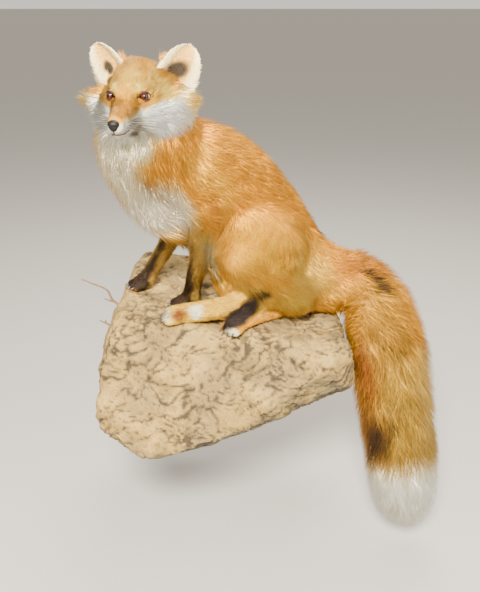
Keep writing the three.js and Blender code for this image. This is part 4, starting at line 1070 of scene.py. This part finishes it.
def ear_colour(side, t, u, back):
    """Cream edges round a golden hollow in front, with painted shade deep in the hollow. Behind, black
    with an orange foot and a cream rim."""
    centre_u, centre_t, wide, tall = (-0.12, 0.09, 0.66, 0.36) if side > 0 else (-0.33, 0.26, 0.3, 0.2)
    rise = t - centre_t - 0.24 * (u - centre_u)
    # Painted shade deep in the ear's hollow, shaped differently for each ear
    hollow_shade = fade(np.hypot((u - centre_u) / wide, rise / tall) - 1, 0.35)[..., None]
    cream = laid_over(EAR_GOLD, EAR_CREAM, fade(0.7 - np.abs(u), 0.3)[..., None])
    front = laid_over(cream, EAR_HOLLOW_SHADE, 0.97 * hollow_shade)
    behind = laid_over(EAR_BACK, EAR_FOOT, fade(t - 0.25, 0.15)[..., None])
    inside_rim = fade(0.10 - np.minimum(1 - np.abs(u), 1.0 - t), 0.05)[..., None]
    behind = laid_over(EAR_RIM, behind, inside_rim)
    return np.where(back[..., None], behind, front)


def blades(name, base, tip, away, width, tone, place):
    """Straight tufts from base to tip, where away is the way out of the surface that they stand on."""
    run = unit(tip - base)
    across = unit(np.cross(run, away))
    over = np.cross(across, run)
    ring = [base - away * 0.2 + (across * x + over * y) * width / 2 for x, y in RING]
    # Painted shade: each blade's root is darker and its tip a little lighter
    return tuft_piece(name, np.stack([*ring, tip], axis=1), [[0, 1, 3], [1, 2, 3], [2, 0, 3]],
                      [0.72, 0.72, 0.72, 1.06], tone, place, [0.0, 1.0, 0.5, 0.5], [0.0, 0.0, 0.0, 1.0])


# Short velvet of the ears: matt, with hardly any grain
ear_velvet, tree, shader, place = finish_of("ear_velvet", Roughness=0.8, Specular_IOR_Level=0.3)
tones = add(tree, "ShaderNodeAttribute", attribute_name="Markings").outputs["Color"]
tree.links.new(varied(tree, tones, place, PER_MM / 1.5, 0.88, 1.1), shader.inputs["Base Color"])
for side, name in ((-1, "right"), (1, "left")):
    t_line = -EAR_SUNK + (1 + EAR_SUNK) * np.sin(np.linspace(0, np.pi / 2, EAR_ROWS))
    turn = np.arange(2 * EAR_COLUMNS) * np.pi / EAR_COLUMNS
    t, turn = np.meshgrid(t_line, turn, indexing="ij")
    u, back = np.cos(turn), np.sin(turn) < 0
    points = ear_sheet(side, np.where(back, -1.0, 1.0), t, u)
    faces = grid_faces(EAR_ROWS, 2 * EAR_COLUMNS)
    middle = points.reshape(-1, 3).mean(axis=0)     # the faces are turned over if they point at it
    a, b, c = (points.reshape(-1, 3)[faces[:, k]] for k in range(3))
    outward = (np.cross(b - a, c - a) * (a - middle)).sum()
    faces = faces if outward > 0 else faces[:, ::-1]
    ear = piece(f"ear_{name}_skin", points.reshape(-1, 3), faces, ear_velvet,
                ear_colour(side, t, u, back).reshape(-1, 3))
    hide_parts(f"ear_{name}")

    # A third of the hairs crowd the edges, and four in ten stand behind
    at_edge = rng.random(EAR_HAIRS) < 0.35
    t = rng.uniform(-0.3, 0.97, EAR_HAIRS)
    edge_u = np.sign(rng.uniform(-1, 1, EAR_HAIRS)) * rng.uniform(0.72, 1, EAR_HAIRS)
    u = np.where(at_edge, edge_u, rng.uniform(-1, 1, EAR_HAIRS))
    behind = rng.random(EAR_HAIRS) < 0.4
    offset = np.where(behind, -1.0, 1.0)
    base = ear_sheet(side, offset, t, u)
    up_step = unit(ear_sheet(side, offset, t + 0.02, u) - base)
    in_step = unit(ear_sheet(side, offset, t, u * 0.9) - base)
    away = unit(ear_sheet(side, offset * 1.5, t, u) - ear_sheet(side, offset * 0.5, t, u) + 1e-6)
    long = np.where(behind, 3.5, 2.5 + 9 * (np.abs(u) > 0.6) * (1 - t)) * rng.uniform(0.6, 1.3, EAR_HAIRS)
    inward = rng.normal(0.15, 0.55, EAR_HAIRS) * np.abs(u)
    way = unit(up_step + in_step * inward[:, None] + away * 0.30)
    tone = ear_colour(side, t, u, behind) * rng.normal(1, 0.14, (EAR_HAIRS, 1))
    # Each ear's front and back lie flat in a quarter of their own sheet
    across = 0.44 * (u + 1) / 2 + (0.5 if side > 0 else 0.03)
    along = 0.44 * np.maximum(t, 0) + np.where(behind, 0.5, 0.03)
    hair = blades(f"ear_{name}_hair", base, base + way * long[:, None], away, 1.1, tone,
                  np.stack([across, along], axis=1))

# ---- The locks by the ears and the ledge ---------------------------------------------------------
# The last of the coat, teased out with a needle: a pointed lock of longer hair at the inner edge of
# each ear, and hair at the tail's bend that is combed over the edge of the ledge.

LOCK_HAIRS = 520
LOCK_TOP = 44                             # height of the locks' tips over the eyes
side = np.where(rng.random(LOCK_HAIRS) < 0.6, 1.0, -1.0)
edge_u = -side * rng.uniform(0.72, 1, LOCK_HAIRS)
on_left = ear_sheet(1, 1.0, rng.uniform(0.12, 0.40, LOCK_HAIRS), edge_u)
on_right = ear_sheet(-1, 1.0, rng.uniform(0.12, 0.40, LOCK_HAIRS), edge_u)
base = np.where(side[:, None] > 0, on_left, on_right)
rise = np.maximum(LOCK_TOP + rng.normal(0, 4, LOCK_HAIRS) - head_places(base)[2], 5)
tip = base + UP * rise[:, None] + rng.normal(0, 1.2, (LOCK_HAIRS, 3))
tone = linear("#c98a26") * rng.normal(1, 0.3, (LOCK_HAIRS, 1))
locks = blades("coat_ear_locks", base, tip, unit(FORWARD + 0.2 * UP), 1.0, tone,
               unwrapped(base, np.full(LOCK_HAIRS, HEAD)))

FRINGE_HAIRS = 1600
FRINGE_HEART, FRINGE_SPREAD = np.array([197, -226, 132]), [5, 9, 17]
base = FRINGE_HEART + rng.normal(0, 1, (FRINGE_HAIRS, 3)) * FRINGE_SPREAD
tip = base + [-17, -1, -11] + rng.normal(0, 3, (FRINGE_HAIRS, 3))
clear_of_rock(tip)
tone = markings(base) * rng.normal(1, 0.2, (FRINGE_HAIRS, 1))
fringe = blades("coat_ledge_fringe", base, tip, unit(np.array([0, -1, 0.3])), 1.3, tone,
                unwrapped(base, np.full(FRINGE_HAIRS, TAIL)))

# ---- The claws -----------------------------------------------------------------------------------
# Horn claws, one to a toe: round at the root, curved down and drawn to a blunt point.

CLAW_LENGTH, CLAW_DROP, CLAW_RADIUS = 11, 3, 1.8
UPRIGHT = WORLD_AXES[2]

# Horn: dark brown, worn to a light polish
horn = finish_of("claw_horn", "#40322a", Roughness=0.35, IOR=1.54)[0]
claw_parts = []
for paw in PAWS.values():
    for _, tip, ahead, _ in toes_of(*paw):
        t = np.linspace(0, 1, 9)[:, None]
        line = tip + [0, 0, 1.5] + ahead * CLAW_LENGTH * t - UPRIGHT * CLAW_DROP * t ** 2
        claw_parts.append(tube(line, CLAW_RADIUS * np.sqrt(1 - 0.96 * t[:, 0] ** 1.5), 8))
claws = piece("claws", *joined(claw_parts), horn)

# ---- The twigs -----------------------------------------------------------------------------------
# Dry twigs let into holes at the rock's left edge: thin forked stems with ridged grey-brown bark.

TWIGS = {
    "twig_upper": [
        [[-196, -185, 136, 2.8], [-209, -185, 147, 2.4], [-218, -185, 156, 2.1], [-226, -185, 173, 1.7],
         [-248, -186, 184, 1.3], [-268, -188, 194, 0.9]],
        [[-215, -185, 152, 1.9], [-222, -186, 153.5, 1.4], [-231, -187, 158, 0.9]]],
    "twig_lower": [
        [[-200, -205, 108, 2.4], [-217, -205, 115, 1.9], [-226, -205, 119, 1.6], [-238, -206, 126, 0.9]],
        [[-225, -205, 118.5, 1.5], [-227, -205, 122, 1.2], [-228, -205, 126, 0.9]]],
}

# Dry bark: dead matt, in lighter and darker flakes of a few millimetres
bark, tree, shader, place = finish_of("dry_bark", Roughness=0.85, IOR=1.5)
flaked = varied(tree, linear("#6b5236"), place, PER_MM / 2.5, 0.6, 1.25)
tree.links.new(flaked, shader.inputs["Base Color"])
for name, branches in TWIGS.items():
    stems = []
    for stations in branches:
        line = smooth_line(stations, 8)
        knots = 1 + 0.10 * np.sin(np.arange(len(line)) * 1.7)
        radii = line[:, 3] * knots
        radii[-1] *= 0.2
        stems.append(tube(line[:, :3], radii, 10))
    twig = piece(f"{name}_bark", *joined(stems), bark)
    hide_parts(name)

# ---- The fixing ----------------------------------------------------------------------------------
# A sawn plywood board screwed into the shell's open back, and a zinc-plated steel keyhole plate let
# into it. Both are the frame's own solids.

# Birch plywood, sawn and sanded: half matt, with grain drawn out along its length
ply, tree, shader, place = finish_of("sawn_plywood", Roughness=0.7, IOR=1.5)
along_grain = add(tree, "ShaderNodeMapping", {"Vector": place, "Scale": (0.08, 1.0, 1.0)})
grained = varied(tree, linear("#b48b5c"), along_grain.outputs["Vector"], PER_MM / 4, 0.82, 1.12, 5)
tree.links.new(grained, shader.inputs["Base Color"])

# Steel with bright zinc plating: a dull shine with faint spangles
zinc, tree, shader, place = finish_of("zinc_plated_steel", Metallic=1.0, Roughness=0.38)
spangled = varied(tree, linear("#a3a6a8"), place, PER_MM / 6, 0.88, 1.06)
tree.links.new(spangled, shader.inputs["Base Color"])
for name, material in (("back_board", ply), ("hanger_plate", zinc)):
    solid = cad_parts[name]
    solid.data.materials.clear()
    solid.data.materials.append(material)

# ---- Floor, light and camera ---------------------------------------------------------------------
# A pale floor below the tail's tip, three soft lights, and a camera a little above the fox, looking
# down by 22 degrees.

FLOOR_LEVEL, FLOOR_SIZE = -0.27, 400      # metres, as all of this section's lengths are
bpy.ops.mesh.primitive_plane_add(size=FLOOR_SIZE, location=(0, 0, FLOOR_LEVEL))
floor = bpy.context.object
floor.name = "floor"
floor.data.materials.append(finish_of("floor_paint", "#a8a49d", Roughness=0.8)[0])

CAMERA_PLACE, CAMERA_DOWN = (0.0, -1.32, 0.62), np.radians(22)
FOCAL_PIXELS, PICTURE_HEIGHT = 720.0, 592.0
camera_data = bpy.data.cameras.new("camera")
camera_data.sensor_fit = "VERTICAL"
camera_data.lens = camera_data.sensor_height * FOCAL_PIXELS / PICTURE_HEIGHT
camera = bpy.data.objects.new("camera", camera_data)
camera.location = CAMERA_PLACE
camera.rotation_euler = (np.pi / 2 - CAMERA_DOWN, 0, 0)
bpy.context.scene.collection.objects.link(camera)
bpy.context.scene.camera = camera

SOFTBOXES = {                             # place, size and power
    "key": ((-0.2, -1.95, 1.5), 0.6, 280),
    "fill": ((1.6, -1.4, 0.9), 1.6, 34),
    "rim": ((0.3, 0.9, 1.9), 1.3, 66),
}
WARM_WHITE = (1.0, 0.95, 0.87)
LIT_PLACE = np.array([0.0, -0.2, 0.2])    # where all three point
for name, (place, size, power) in SOFTBOXES.items():
    lamp = bpy.data.lights.new(name, "AREA")
    lamp.shape, lamp.size, lamp.energy = "DISK", size, power
    lamp.color = WARM_WHITE
    light = bpy.data.objects.new(name, lamp)
    light.location = place
    toward = LIT_PLACE - np.array(place)
    flat = np.hypot(toward[0], toward[1])
    light.rotation_euler = (np.pi / 2 + np.arctan2(toward[2], flat), 0, np.arctan2(-toward[0], toward[1]))
    bpy.context.scene.collection.objects.link(light)
world = bpy.data.worlds.new("studio")
world.use_nodes = True
background = world.node_tree.nodes["Background"]
background.inputs["Color"].default_value = (*linear("#efe8dd"), 1)
background.inputs["Strength"].default_value = 1.1
bpy.context.scene.world = world
